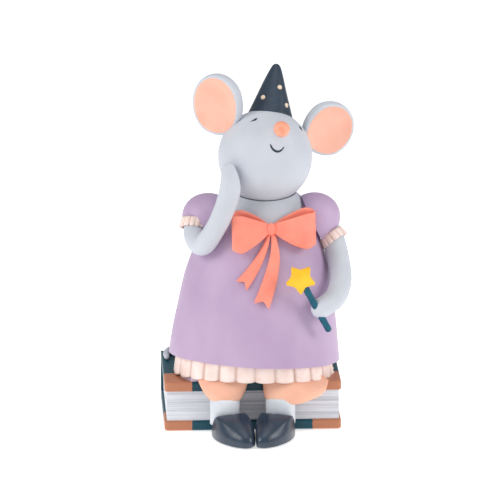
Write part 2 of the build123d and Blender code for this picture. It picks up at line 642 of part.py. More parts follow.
# Each stud is its height along the hat's axis and its angle round it.
STUDS = ((25.7, -130), (28.0, 146), (34.4, -154), (26.0, 40), (32.0, -40))
with BuildPart() as hat_studs:
    for height, angle in STUDS:
        cone_r = HAT_BASE_R + (HAT_TIP_R - HAT_BASE_R) * (height - hat_foot) / (HAT_HEIGHT - HAT_TIP_R - hat_foot)
        stud_plane = Plane(hat_plane.offset(height).origin, x_dir=hat_plane.x_dir, z_dir=HAT_AXIS)
        outward = stud_plane.x_dir * cos(radians(angle)) + stud_plane.y_dir * sin(radians(angle))
        add(rod(stud_plane.origin + outward * (cone_r - STUD_LENGTH / 2), outward, STUD_LENGTH, STUD_R))
save(hat_studs, "hat_studs")

with BuildPart() as hat:
    add(hat_cone.part)
    add(head_ball, mode=Mode.SUBTRACT)
    add(hat_studs.part, mode=Mode.SUBTRACT)
save(hat, "hat")

# The spindle carries the fork that the crank's pin works, and a side rod that works the arm's crank.
LEVER_ANGLE = radians(9)  # the middle of the head's swing is this far from rest
LEVER_REACH, FORK_SLOT, FORK_THICK, FORK_WIDTH = 12.4, 1.7, 1.2, 5.4
FORK_BOTTOM, LEVER_BOTTOM, LEVER_THICK = 67.6, 86.2, 1.7
COLLAR_R, COLLAR_BOTTOM, COLLAR_HEIGHT = 3.2, 85.6, 4.0
SIDE_ROD_R, SIDE_ROD_HEIGHT, SIDE_ROD_REACH = 0.8, 87.0, 11.7
lever_plane = Plane(
    (HEAD_CENTRE.X, AXIS_Y, 0), x_dir=(cos(LEVER_ANGLE), sin(LEVER_ANGLE), 0), z_dir=(0, 0, 1)
)
with BuildPart() as fork:
    with Locations((0, -LEVER_REACH, FORK_BOTTOM)):
        Box(FORK_WIDTH, FORK_THICK, LEVER_BOTTOM + LEVER_THICK - FORK_BOTTOM, align=ON_BASE)
    with Locations((0, -LEVER_REACH, FORK_BOTTOM)):
        Box(FORK_SLOT, FORK_THICK, 9.5, align=ON_BASE, mode=Mode.SUBTRACT)
    with Locations((0, 0, LEVER_BOTTOM)):
        Box(FORK_WIDTH, LEVER_REACH + FORK_THICK / 2, LEVER_THICK, align=(Align.CENTER, Align.MAX, Align.MIN))
fork_form = lever_plane.location * fork.part

with BuildPart() as neck_spindle:
    with Locations((HEAD_CENTRE.X, AXIS_Y, COLLAR_BOTTOM)):
        Cylinder(COLLAR_R, COLLAR_HEIGHT, align=ON_BASE)
        Cylinder(SHAFT_R, SPINDLE_TOP - COLLAR_BOTTOM, align=ON_BASE)
    with Locations((HEAD_CENTRE.X, AXIS_Y, NECK_BOSS_TOP)):
        Cylinder(5.4, FLANGE, align=ON_BASE)
    add(fork_form)
    add(rod((HEAD_CENTRE.X, AXIS_Y, SIDE_ROD_HEIGHT), (1, 0, 0), SIDE_ROD_REACH, SIDE_ROD_R))
save(neck_spindle, "neck_spindle")

# The shoulder's shaft has a forked crank at its inner end, which straddles the side rod.
SHAFT_INNER, CRANK_THICK, CRANK_WIDTH = 17.7, 1.4, 4.8
CRANK_REACH, CRANK_SLOT, CRANK_SLOT_START = 9.0, 2.3, 4.6
crank_plane = Plane(
    shoulder_plane.offset(-SHAFT_INNER).origin,
    x_dir=(0, 1, 0),
    z_dir=shoulder_axis,
)
with BuildPart() as shoulder_shaft:
    with Locations(crank_plane.offset(-CRANK_THICK / 2).location):
        Cylinder(SHAFT_R, SHAFT_INNER + SHAFT_IN_SLEEVE + CRANK_THICK / 2, align=ON_BASE)
        Cylinder(CRANK_WIDTH / 2 + 0.6, CRANK_THICK, align=ON_BASE)
        down = Align.MIN if crank_plane.y_dir.Z < 0 else Align.MAX
        Box(CRANK_WIDTH, CRANK_REACH, CRANK_THICK, align=(Align.CENTER, down, Align.MIN))
    reach_sign = 1 if down == Align.MIN else -1
    slot_middle = reach_sign * (CRANK_SLOT_START + CRANK_REACH + 1) / 2
    with Locations(crank_plane.location * Pos(0, slot_middle, 0)):
        Box(CRANK_SLOT, CRANK_REACH + 1 - CRANK_SLOT_START, 2 * CRANK_THICK, mode=Mode.SUBTRACT)
save(shoulder_shaft, "shoulder_shaft")

# ---------------------------------------------------------------- the spring motor
PRESSURE_ANGLE = radians(20)
ADDENDUM, DEDENDUM, BACKLASH = 0.8, 1.05, 0.16
END_PLAY, PIVOT_R, ARBOR_R, GREAT_ARBOR_R, GREAT_PIVOT_R = 0.15, 0.7, 1.2, 1.6, 1.2


def gear(at, teeth, tooth_angle, y_front, y_rear, bore):
    """An involute gear with stub teeth and one tooth pointing at tooth_angle in the X-Z plane."""
    pitch_r = MODULE * teeth / 2
    base_r, tip_r, root_r = pitch_r * cos(PRESSURE_ANGLE), pitch_r + ADDENDUM * MODULE, pitch_r - DEDENDUM * MODULE
    at_pitch = pi / (2 * teeth) - BACKLASH / (4 * pitch_r) + tan(PRESSURE_ANGLE) - PRESSURE_ANGLE

    def half_angle(radius):
        pressure = acos(min(1, base_r / radius))
        return at_pitch - (tan(pressure) - pressure)

    flank = [max(root_r, base_r) + (tip_r - max(root_r, base_r)) * step / 3 for step in range(4)]
    tooth = [(root_r, -half_angle(flank[0])), *[(r, -half_angle(r)) for r in flank]]
    if root_r >= base_r:
        tooth = tooth[1:]
    tooth = tooth + [(r, -angle) for r, angle in reversed(tooth)]
    outline = []
    for count in range(teeth):
        middle = radians(tooth_angle) + 2 * pi * count / teeth
        for radius, angle in tooth:
            outline.append((radius * cos(middle + angle), radius * sin(middle + angle)))
    with BuildPart() as form:
        with BuildSketch(facing_front(y_rear)):
            with Locations(at):
                Polygon(*outline, align=None)
                Circle(bore, mode=Mode.SUBTRACT)
        extrude(amount=y_rear - y_front)
    return form.part


def facing_back(angle, teeth):
    """The tooth angle of a pinion whose gap takes the tooth of a wheel that points at angle."""
    return angle + 180 + 180 / teeth


def motor_plate(y_front):
    """One plate of the motor, cut to the hull of everything that it carries."""
    with BuildPart() as plate:
        with BuildSketch(facing_front(y_front + PLATE)) as outline:
            with Locations(*PILLARS, great_at, second_at, third_at, fly_at):
                Circle(PLATE_MARGIN)
            make_hull()
            with Locations(third_at, fly_at):
                Circle(PIVOT_R + RUNNING, mode=Mode.SUBTRACT)
        extrude(amount=PLATE)
    return plate.part


with BuildPart() as front_plate:
    add(motor_plate(FRONT_PLATE_Y - PLATE))
    add(bar(*great_at, -BACK, BACK, GREAT_PIVOT_R + RUNNING), mode=Mode.SUBTRACT)
    add(bar(*second_at, -BACK, BACK, ARBOR_R + RUNNING), mode=Mode.SUBTRACT)
save(front_plate, "front_plate")

with BuildPart() as rear_plate:
    add(motor_plate(REAR_PLATE_Y))
    add(bar(*great_at, -BACK, BACK, GREAT_ARBOR_R + RUNNING), mode=Mode.SUBTRACT)
    add(bar(*second_at, -BACK, BACK, PIVOT_R + RUNNING), mode=Mode.SUBTRACT)
    add(bar(*STOP_AT, -BACK, BACK, STOP_R + RUNNING), mode=Mode.SUBTRACT)
    for x, z, seat in MOTOR_SCREWS:
        add(bar(x, z, -BACK, BACK, SCREW_R), mode=Mode.SUBTRACT)
save(rear_plate, "rear_plate")

with BuildPart() as plate_pillars:
    for x, z in PILLARS:
        add(bar(x, z, FRONT_PLATE_Y, REAR_PLATE_Y, PILLAR_R))
    for x, z, seat in MOTOR_SCREWS:
        add(bar(x, z, MOTOR_SCREW_REACH, BACK, SCREW_R), mode=Mode.SUBTRACT)
save(plate_pillars, "plate_pillars")

KEY_START, ARBOR_END = 18.0, 24.0
with BuildPart() as winding_arbor:
    add(bar(*great_at, FRONT_PLATE_Y - PLATE, FRONT_PLATE_Y + END_PLAY, GREAT_PIVOT_R))
    add(bar(*great_at, FRONT_PLATE_Y + END_PLAY, ARBOR_END, GREAT_ARBOR_R))
save(winding_arbor, "winding_arbor")

GREAT_Y, RATCHET_Y = (-1.1, 0.4), (0.6, 1.6)
CLICK_STUD_R, CLICK_PIVOT_REACH = 0.8, 9.0
click_pivot = away(great_at, CLICK_PIVOT_REACH, 0)
with BuildPart() as great_wheel:
    add(gear(great_at, GREAT_TEETH, GREAT_TO_SECOND, *GREAT_Y, GREAT_ARBOR_R + RUNNING))
    for spoke in range(5):
        add(bar(*away(great_at, 8.4, 36 + 72 * spoke), *GREAT_Y, 2.6), mode=Mode.SUBTRACT)
    add(bar(*click_pivot, GREAT_Y[1], RATCHET_Y[1] + 0.1, CLICK_STUD_R))
save(great_wheel, "great_wheel")

RATCHET_TEETH, RATCHET_TIP, RATCHET_ROOT, RATCHET_FACE = 12, 6.2, 5.0, 51.0
with BuildPart() as ratchet_wheel:
    saw = []
    for tooth in range(RATCHET_TEETH):
        face = RATCHET_FACE + 360 * tooth / RATCHET_TEETH
        saw += [away((0, 0), RATCHET_ROOT, face), away((0, 0), RATCHET_TIP, face)]
    with BuildSketch(facing_front(RATCHET_Y[1])):
        with Locations(great_at):
            Polygon(*saw, align=None)
            Circle(GREAT_ARBOR_R, mode=Mode.SUBTRACT)
    extrude(amount=RATCHET_Y[1] - RATCHET_Y[0])
save(ratchet_wheel, "ratchet_wheel")

CLICK_INNER, CLICK_OUTER = 6.8, 8.4
with BuildPart() as click:
    outer_edge = [away((0, 0), CLICK_OUTER, 5 * step) for step in range(11)]
    inner_edge = [away((0, 0), CLICK_INNER, 5 * step) for step in range(9)]
    sector = list(reversed(inner_edge)) + outer_edge
    with BuildSketch(facing_front(RATCHET_Y[1])):
        with Locations(great_at):
            Polygon(*sector, away((0, 0), 5.3, 50), align=None)
        with Locations(click_pivot):
            Circle(1.8)
            Circle(CLICK_STUD_R + RUNNING, mode=Mode.SUBTRACT)
    extrude(amount=RATCHET_Y[1] - RATCHET_Y[0])
save(click, "click")

KEY_TURN, WING_REACH, WING_R, WING_THICK, KEY_STEM_R = radians(62), 8.4, 7.0, 2.4, 2.3
KEY_WING_Y, KEY_STEM_END = 40.5, 36.0
key_plane = Plane(
    (great_at[0], 0, great_at[1]), x_dir=(cos(KEY_TURN), 0, sin(KEY_TURN)), z_dir=(-sin(KEY_TURN), 0, cos(KEY_TURN))
)
with BuildPart() as winding_key:
    with BuildSketch(key_plane.offset(-WING_THICK / 2)):
        with Locations((-WING_REACH, KEY_WING_Y), (WING_REACH, KEY_WING_Y)):
            Circle(WING_R)
        with Locations((0, KEY_WING_Y - 1.5)):
            Rectangle(2 * WING_REACH, 7)
        with Locations((-WING_REACH, KEY_WING_Y), (WING_REACH, KEY_WING_Y)):
            Circle(1.8, mode=Mode.SUBTRACT)
    extrude(amount=WING_THICK)
    add(bar(*great_at, KEY_START, KEY_STEM_END, KEY_STEM_R))
    add(bar(*great_at, 30, KEY_STEM_END + 2, KEY_STEM_R + 0.9))
    add(bar(*great_at, KEY_START, ARBOR_END, GREAT_ARBOR_R), mode=Mode.SUBTRACT)
save(winding_key, "winding_key")

SPRING_Y, SPRING_THICK, SPRING_TURNS, SPRING_INNER, SPRING_OUTER, SPRING_END = (2.0, 7.8), 0.35, 7, 2.2, 12.6, 262
STEPS_PER_TURN = 20
with BuildPart() as mainspring:
    outer_side, inner_side = [], []
    for step in range(SPRING_TURNS * STEPS_PER_TURN + 1):
        turned = step / STEPS_PER_TURN
        coil_r = SPRING_INNER + (SPRING_OUTER - SPRING_INNER) * turned / SPRING_TURNS
        coil_angle = SPRING_END + 360 * (SPRING_TURNS - turned)
        outer_side.append(away((0, 0), coil_r + SPRING_THICK, coil_angle))
        inner_side.append(away((0, 0), coil_r, coil_angle))
    eye = (PILLARS[1][0] - great_at[0], PILLARS[1][1] - great_at[1])
    with BuildSketch(facing_front(SPRING_Y[1])):
        with Locations(great_at):
            Polygon(*outer_side, *reversed(inner_side), align=None)
            Polygon(outer_side[-1], inner_side[-1], (eye[0], eye[1] + 2.4), (eye[0], eye[1] + 2.05), align=None)
        with Locations(PILLARS[1]):
            Circle(PILLAR_R + 0.5)
            Circle(PILLAR_R + RUNNING, mode=Mode.SUBTRACT)
    extrude(amount=SPRING_Y[1] - SPRING_Y[0])
save(mainspring, "mainspring")

SECOND_WHEEL_Y, SECOND_PINION_Y = (-3.9, -2.7), (-1.6, 0.9)
THIRD_WHEEL_Y, THIRD_PINION_Y = (-5.8, -4.8), (-4.3, -2.3)
FLY_PINION_Y, VANE_Y, BRAKE_Y = (-6.05, -4.5), (-3.5, 3.9), (4.2, 4.8)
CRANK_DISC_Y, CRANK_DISC_R, CRANK_THROW, CRANK_PIN_R, CRANK_PIN_Y = (-9.7, -8.5), 4.2, 1.9, 0.7, -11.7


def arbor(at, front_y):
    """An arbor between the plates, with a pivot in the rear plate; its front end is at front_y."""
    body_front, body_rear = FRONT_PLATE_Y + END_PLAY, REAR_PLATE_Y - END_PLAY
    with BuildPart() as form:
        add(bar(*at, body_front, body_rear, ARBOR_R))
        add(bar(*at, body_rear, REAR_PLATE_Y + PLATE, PIVOT_R))
        add(bar(*at, front_y, body_front, ARBOR_R if front_y < FRONT_PLATE_Y - PLATE else PIVOT_R))
    return form.part


with BuildPart() as second_arbor:
    add(arbor(second_at, CRANK_DISC_Y[0]))
    add(gear(second_at, PINION_TEETH, facing_back(GREAT_TO_SECOND, PINION_TEETH), *SECOND_PINION_Y, ARBOR_R / 2))
    add(bar(*second_at, *CRANK_DISC_Y, CRANK_DISC_R))
    add(bar(second_at[0] + CRANK_THROW, second_at[1], CRANK_PIN_Y, CRANK_DISC_Y[0], CRANK_PIN_R))
save(second_arbor, "second_arbor")

with BuildPart() as second_wheel:
    add(gear(second_at, SECOND_TEETH, SECOND_TO_THIRD, *SECOND_WHEEL_Y, ARBOR_R))
    for spoke in range(4):
        add(bar(*away(second_at, 6.6, 45 + 90 * spoke), *SECOND_WHEEL_Y, 2.6), mode=Mode.SUBTRACT)
save(second_wheel, "second_wheel")

with BuildPart() as third_arbor:
    add(arbor(third_at, FRONT_PLATE_Y - PLATE))
    add(gear(third_at, PINION_TEETH, facing_back(SECOND_TO_THIRD, PINION_TEETH), *THIRD_PINION_Y, ARBOR_R / 2))
save(third_arbor, "third_arbor")

with BuildPart() as third_wheel:
    add(gear(third_at, THIRD_TEETH, THIRD_TO_FLY, *THIRD_WHEEL_Y, ARBOR_R))
save(third_wheel, "third_wheel")

VANE_R, VANE_THICK, BRAKE_R = 6.5, 0.5, 5.5
with BuildPart() as fly:
    add(arbor(fly_at, FRONT_PLATE_Y - PLATE))
    add(gear(fly_at, PINION_TEETH, facing_back(THIRD_TO_FLY, PINION_TEETH), *FLY_PINION_Y, ARBOR_R / 2))
    with Locations((fly_at[0], sum(VANE_Y) / 2, fly_at[1])):
        Box(VANE_THICK, VANE_Y[1] - VANE_Y[0], 2 * VANE_R)
    add(bar(*fly_at, *BRAKE_Y, BRAKE_R))
save(fly, "fly")

with BuildPart() as stop_button:
    add(bar(*STOP_AT, STOP_TIP, STOP_HEAD_Y + 1, STOP_R))
    add(bar(*STOP_AT, STOP_HEAD_Y, STOP_HEAD_Y + STOP_HEAD, STOP_HEAD_R))
    fillet(stop_button.faces().sort_by(Axis.Y)[-1].edges(), 1.2)
save(stop_button, "stop_button")
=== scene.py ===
"""A clockwork mouse in a lilac dress and a pointed hat, seated on a thick closed book.

Built in millimetres, turned to metres as each piece is finished. +Z is up and -Y is the mouse's front.
Left and right are the mouse's own.
"""

from math import atan2, cos, exp, pi, radians, sin, sqrt

import bmesh
import bpy
from mathutils import Matrix, Vector


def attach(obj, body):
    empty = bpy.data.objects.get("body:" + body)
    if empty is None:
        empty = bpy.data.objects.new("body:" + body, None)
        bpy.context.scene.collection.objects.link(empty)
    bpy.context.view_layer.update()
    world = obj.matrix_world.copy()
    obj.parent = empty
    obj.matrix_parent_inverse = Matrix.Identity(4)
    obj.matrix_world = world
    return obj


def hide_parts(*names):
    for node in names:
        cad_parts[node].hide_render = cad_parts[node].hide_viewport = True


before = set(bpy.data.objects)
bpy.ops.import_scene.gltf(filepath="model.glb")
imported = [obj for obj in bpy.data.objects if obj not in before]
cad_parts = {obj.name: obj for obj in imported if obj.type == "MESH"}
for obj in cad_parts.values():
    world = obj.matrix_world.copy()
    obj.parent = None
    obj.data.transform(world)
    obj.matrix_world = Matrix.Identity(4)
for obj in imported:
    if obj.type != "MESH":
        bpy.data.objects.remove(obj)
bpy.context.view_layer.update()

# ---------------------------------------------------------------- studio
# A pale sheet under the figure, a long lens a little above it and slightly to its right, and three large
# soft boxes with a bright room round them, so that the shadows stay thin.
AIM = Vector((0, 0, 0.0843))
SIDE, RISE, AWAY = radians(-2.7), radians(14.2), 2.5
back = Vector((sin(SIDE) * cos(RISE), -cos(SIDE) * cos(RISE), sin(RISE)))
eye = bpy.data.cameras.new("camera")
eye.lens, eye.sensor_width = 360, 36
camera = bpy.data.objects.new("camera", eye)
camera.location = AIM + back * AWAY
camera.rotation_euler = back.to_track_quat("Z", "Y").to_euler()
bpy.context.scene.collection.objects.link(camera)
bpy.context.scene.camera = camera

room = bpy.data.worlds.new("room")
room.use_nodes = True
room.node_tree.nodes["Background"].inputs["Color"].default_value = (1, 1, 1, 1)
room.node_tree.nodes["Background"].inputs["Strength"].default_value = 0.38
bpy.context.scene.world = room
bpy.context.scene.view_settings.view_transform = "Standard"

for name, place, width, power in (
    ("soft_box_left", (-1.0, -0.45, 0.75), 0.7, 7.2),
    ("soft_box_right", (1.05, -0.35, 0.6), 0.6, 5.4),
    ("soft_box_above", (0.1, -0.2, 1.2), 0.9, 3.1),
):
    box = bpy.data.lights.new(name, "AREA")
    box.size, box.energy = width, power
    lamp = bpy.data.objects.new(name, box)
    lamp.location = place
    lamp.rotation_euler = (Vector(place) - AIM).to_track_quat("Z", "Y").to_euler()
    bpy.context.scene.collection.objects.link(lamp)


def pigment(red, green, blue):
    """A colour as a paint maker's chart gives it, from 0 to 255, as Blender's linear colour."""
    return (*(((part / 255 + 0.055) / 1.055) ** 2.4 for part in (red, green, blue)), 1)


sheet = bmesh.new()
bmesh.ops.create_grid(sheet, x_segments=8, y_segments=8, size=6)
bmesh.ops.translate(sheet, vec=(0, 0, -0.0004), verts=sheet.verts)
floor_mesh = bpy.data.meshes.new("floor")
sheet.to_mesh(floor_mesh)
sheet.free()
floor = bpy.data.objects.new("floor", floor_mesh)
paper = bpy.data.materials.new("paper")
paper.use_nodes = True
paper.node_tree.nodes["Principled BSDF"].inputs["Base Color"].default_value = pigment(250, 250, 250)
paper.node_tree.nodes["Principled BSDF"].inputs["Roughness"].default_value = 0.9
paper.node_tree.nodes["Principled BSDF"].inputs["Emission Color"].default_value = (1, 1, 1, 1)
paper.node_tree.nodes["Principled BSDF"].inputs["Emission Strength"].default_value = 0.55
floor_mesh.materials.append(paper)
bpy.context.scene.collection.objects.link(floor)


# ---------------------------------------------------------------- book
# A closed book cast in resin: two cover boards, a hollow block of pages and a rounded back, screwed together
# from below. Teal paint, copper paint on the fore-edge corners and off-white pages with the leaves scored in,
# with painted shade along the lines between the leaves.
TEAL, DEEP_TEAL, COPPER = (0, 78, 94), (0, 60, 77), (190, 125, 93)
PAPER, LEAF_SHADOW = (234, 238, 245), (180, 184, 194)
CORNER_X, CORNER_Y = 0.0300, -0.0145  # where the copper corners end


def paint(name, colour, wash_and_crease_shade, roughness, cloud=70, grain=1400, relief=0.05, coat=0.0):
    """Paint brushed over resin: a thinner wash lies unevenly over the colour, the brush leaves a fine grain."""
    finish = bpy.data.materials.new(name)
    finish.use_nodes = True
    nodes, links = finish.node_tree.nodes, finish.node_tree.links
    shader = nodes["Principled BSDF"]
    shader.inputs["Specular IOR Level"].default_value = 0.35
    shader.inputs["Coat Weight"].default_value = coat
    shader.inputs["Coat Roughness"].default_value = 0.25
    place = nodes.new("ShaderNodeTexCoord")
    clouds, brush = nodes.new("ShaderNodeTexNoise"), nodes.new("ShaderNodeTexNoise")
    clouds.inputs["Scale"].default_value, clouds.inputs["Detail"].default_value = cloud, 5
    brush.inputs["Scale"].default_value, brush.inputs["Detail"].default_value = grain, 3
    spread, sheen = nodes.new("ShaderNodeMapRange"), nodes.new("ShaderNodeMapRange")
    spread.inputs["From Min"].default_value, spread.inputs["From Max"].default_value = 0.35, 0.75
    sheen.inputs["To Min"].default_value = roughness - 0.07
    sheen.inputs["To Max"].default_value = roughness + 0.07
    tint = nodes.new("ShaderNodeMix")
    tint.data_type = "RGBA"
    tint.inputs["A"].default_value, tint.inputs["B"].default_value = pigment(*colour), pigment(*wash_and_crease_shade)
    bump = nodes.new("ShaderNodeBump")
    bump.name, bump.inputs["Strength"].default_value = "bump", 0.35
    bump.inputs["Distance"].default_value = relief / 1000
    for texture in (clouds, brush):
        links.new(place.outputs["Object"], texture.inputs["Vector"])
    links.new(clouds.outputs["Fac"], spread.inputs["Value"])
    links.new(spread.outputs["Result"], tint.inputs["Factor"])
    links.new(tint.outputs["Result"], shader.inputs["Base Color"])
    links.new(brush.outputs["Fac"], sheen.inputs["Value"])
    links.new(sheen.outputs["Result"], shader.inputs["Roughness"])
    links.new(brush.outputs["Fac"], bump.inputs["Height"])
    links.new(bump.outputs["Normal"], shader.inputs["Normal"])
    return finish


def layer(finish, colour, mask):
    """Lays one more colour over a paint, as far as the mask node's value goes from 0 to 1."""
    nodes, links = finish.node_tree.nodes, finish.node_tree.links
    shader = nodes["Principled BSDF"]
    below = shader.inputs["Base Color"].links[0].from_socket
    over = nodes.new("ShaderNodeMix")
    over.data_type = "RGBA"
    over.inputs["B"].default_value = pigment(*colour)
    links.new(below, over.inputs["A"])
    links.new(mask.outputs["Fac" if "Fac" in mask.outputs else 0], over.inputs["Factor"])
    links.new(over.outputs["Result"], shader.inputs["Base Color"])


def dress_node(node, finish):
    """Gives a CAD node that stays in view its finish."""
    shape = bpy.data.objects[node]
    shape.data.materials.clear()
    shape.data.materials.append(finish)


def wobbling(finish, axis, amount=0.0006, scale=500):
    """One of the object's coordinates, wandering a little as a hand-painted edge does."""
    nodes, links = finish.node_tree.nodes, finish.node_tree.links
    kinds = "ShaderNodeTexCoord", "ShaderNodeSeparateXYZ", "ShaderNodeTexNoise"
    place, split, wander = (nodes.new(kind) for kind in kinds)
    wander.inputs["Scale"].default_value = scale
    add = nodes.new("ShaderNodeMath")
    add.operation = "MULTIPLY_ADD"
    add.inputs[1].default_value = amount
    links.new(place.outputs["Object"], split.inputs["Vector"])
    links.new(place.outputs["Object"], wander.inputs["Vector"])
    links.new(wander.outputs["Fac"], add.inputs[0])
    links.new(split.outputs[axis], add.inputs[2])
    return add


def compare(finish, source, operation, limit=None):
    """One step of arithmetic on a value in a paint's nodes."""
    step = finish.node_tree.nodes.new("ShaderNodeMath")
    step.operation = operation
    if limit is not None:
        step.inputs[1].default_value = limit
    finish.node_tree.links.new(source.outputs[0], step.inputs[0])
    return step


board_paint = paint("board_paint", TEAL, DEEP_TEAL, 0.42, cloud=60, relief=0.08, coat=0.05)
from_middle = compare(board_paint, wobbling(board_paint, "X"), "ABSOLUTE")
far_out = compare(board_paint, from_middle, "GREATER_THAN", CORNER_X)
at_front = compare(board_paint, wobbling(board_paint, "Y"), "LESS_THAN", CORNER_Y)
corner = compare(board_paint, far_out, "MULTIPLY")
board_paint.node_tree.links.new(at_front.outputs[0], corner.inputs[1])
layer(board_paint, COPPER, corner)
for node in ("book_lower_cover", "book_upper_cover"):
    dress_node(node, board_paint)
dress_node("book_spine", paint("spine_paint", TEAL, DEEP_TEAL, 0.42, cloud=60, relief=0.08, coat=0.05))

page_paint = paint("page_paint", PAPER, (216, 220, 228), 0.62, cloud=45)
leaves = page_paint.node_tree.nodes.new("ShaderNodeTexNoise")
leaf_place = page_paint.node_tree.nodes.new("ShaderNodeTexCoord")
leaf_scale = page_paint.node_tree.nodes.new("ShaderNodeMapping")
leaf_scale.inputs["Scale"].default_value = (12, 12, 900)
leaves.inputs["Scale"].default_value, leaves.inputs["Detail"].default_value = 1.0, 3
leaf_line_shade = page_paint.node_tree.nodes.new("ShaderNodeMapRange")
leaf_line_shade.inputs["From Min"].default_value, leaf_line_shade.inputs["From Max"].default_value = 0.36, 0.52
leaf_line_shade.inputs["To Min"].default_value, leaf_line_shade.inputs["To Max"].default_value = 0.75, 0.0
for start, end in (
    (leaf_place.outputs["Object"], leaf_scale.inputs["Vector"]),
    (leaf_scale.outputs["Vector"], leaves.inputs["Vector"]),
    (leaves.outputs["Fac"], leaf_line_shade.inputs["Value"]),
    (leaves.outputs["Fac"], page_paint.node_tree.nodes["bump"].inputs["Height"]),
):
    page_paint.node_tree.links.new(start, end)
page_paint.node_tree.nodes["bump"].inputs["Distance"].default_value = 0.0005
page_paint.node_tree.nodes["bump"].inputs["Strength"].default_value = 0.5
# Painted shade: grey lines laid between the leaves of the page block.
layer(page_paint, LEAF_SHADOW, leaf_line_shade)
dress_node("book_pages", page_paint)


def metal(name, colour, roughness, scratch=900):
    """Turned or plated metal with fine scratches."""
    worn = tuple(int(part * 0.82) for part in colour)
    finish = paint(name, colour, worn, roughness, cloud=260, grain=scratch, relief=0.02)
    finish.node_tree.nodes["Principled BSDF"].inputs["Metallic"].default_value = 1.0
    return finish


steel = metal("zinc_plated_steel", (196, 198, 202), 0.32)
for node in ("book_screws", "seat_screws", "back_screws"):
    dress_node(node, steel)

# ---------------------------------------------------------------- dress
# Two resin shells, front and back, screwed together from behind, in satin lilac. The skirt hangs in soft
# upright folds to a thick rounded hem. The back shell, with its screw wells and key hole, is kept from the CAD.
LILAC, LILAC_SHADE = (194, 170, 200), (179, 153, 187)
WALL, SEAM_Y = 2.5, -1.0
BODY = (  # height, middle X and Y, half width and half depth
    (18, 1.3, -12.2, 43.6, 39.4),
    (30, 1.4, -11.5, 43.0, 38.5),
    (45, 1.8, -9.5, 41.4, 35.5),
    (60, 2.7, -6.8, 39.0, 32.2),
    (75, 3.6, -4.2, 36.2, 29.0),
    (90, 4.2, -2.6, 31.0, 24.4),
    (100, 4.9, -2.0, 26.6, 20.8),
    (108, 6.2, -1.4, 21.8, 17.2),
    (114, 7.4, -1.0, 16.5, 13.5),
)
HEM, HEM_TILT = Vector((0, 0, 32.0)), Vector((0.058, 0.09, 1))
NECKLINE, NECKLINE_TILT = Vector((0, 0, 111.0)), Vector((0, -0.42, 1))
SHOULDER, LEAN = Vector((31.1, -1.0, 100.5)), radians(25)
CHEST_X, SLEEVE_R = 5.8, 12.8
left_axis = Vector((cos(LEAN), 0, sin(LEAN)))
right_axis = Vector((-left_axis.x, 0, left_axis.z))
right_shoulder = Vector((2 * CHEST_X - SHOULDER.x, SHOULDER.y, SHOULDER.z))


def piece(name, form, finish, body, slot, *nodes):
    """A finished piece from a form in millimetres: it rides on a body and stands for CAD nodes."""
    bmesh.ops.remove_doubles(form, verts=form.verts, dist=0.004)
    bmesh.ops.recalc_face_normals(form, faces=form.faces)
    bmesh.ops.scale(form, vec=(0.001, 0.001, 0.001), verts=form.verts)
    mesh = bpy.data.meshes.new(name)
    form.to_mesh(mesh)
    form.free()
    mesh.shade_smooth()
    mesh.materials.append(finish)
    shape = bpy.data.objects.new(name, mesh)
    bpy.context.scene.collection.objects.link(shape)
    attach(shape, body)
    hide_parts(*nodes)
    return shape


def hoop(form, place, wide, deep, sides):
    """An oval ring of edges, its middle and its tilt given by a matrix."""
    made = bmesh.ops.create_circle(form, segments=sides, radius=1)["verts"]
    bmesh.ops.scale(form, vec=(wide, deep, 1), verts=made)
    bmesh.ops.transform(form, matrix=place, verts=made)
    return list({edge for vert in made for edge in vert.link_edges})


def body_at(height):
    """The dressed body's oval at a height: its middle X and Y, its half width and its half depth."""
    index = max(i for i in range(len(BODY) - 1) if BODY[i][0] <= max(height, BODY[0][0]))
    slopes = []
    for row in (index, index + 1):
        low, high = max(row - 1, 0), min(row + 1, len(BODY) - 1)
        slopes.append((Vector(BODY[high][1:]) - Vector(BODY[low][1:])) / (BODY[high][0] - BODY[low][0]))
    start, end = Vector(BODY[index][1:]), Vector(BODY[index + 1][1:])
    span = BODY[index + 1][0] - BODY[index][0]
    t = (height - BODY[index][0]) / span
    return (
        (2 * t**3 - 3 * t**2 + 1) * start + (t**3 - 2 * t**2 + t) * span * slopes[0]
        + (3 * t**2 - 2 * t**3) * end + (t**3 - t**2) * span * slopes[1]
    )


def front_of_body(x, z, grow):
    """How far forward the body's form reaches at a place on its front."""
    middle_x, middle_y, wide, deep = body_at(z)
    reach = min(abs(x - middle_x) / (wide + grow), 0.98)
    return middle_y - (deep + grow) * sqrt(1 - reach**2)


def cut_away(form, place, facing, fill=False):
    """Cuts off what lies on the facing side of a plane, and gives the rim that the cut leaves."""
    made = bmesh.ops.bisect_plane(
        form, geom=form.verts[:] + form.edges[:] + form.faces[:], plane_co=place, plane_no=facing, clear_outer=True
    )
    rim = [edge for edge in made["geom_cut"] if isinstance(edge, bmesh.types.BMEdge)]
    if fill:
        bmesh.ops.triangle_fill(form, edges=rim, use_beauty=True)
    return rim


def walled(shape, thickness, rim=0.0):
    """Gives a sheet its thickness, inwards, and rounds its rims."""
    wall = shape.modifiers.new("wall", "SOLIDIFY")
    wall.thickness, wall.offset = thickness / 1000, -1
    if rim:
        edge = shape.modifiers.new("rim", "BEVEL")
        edge.width, edge.segments, edge.limit_method, edge.angle_limit = rim / 1000, 3, "ANGLE", radians(55)
    return shape


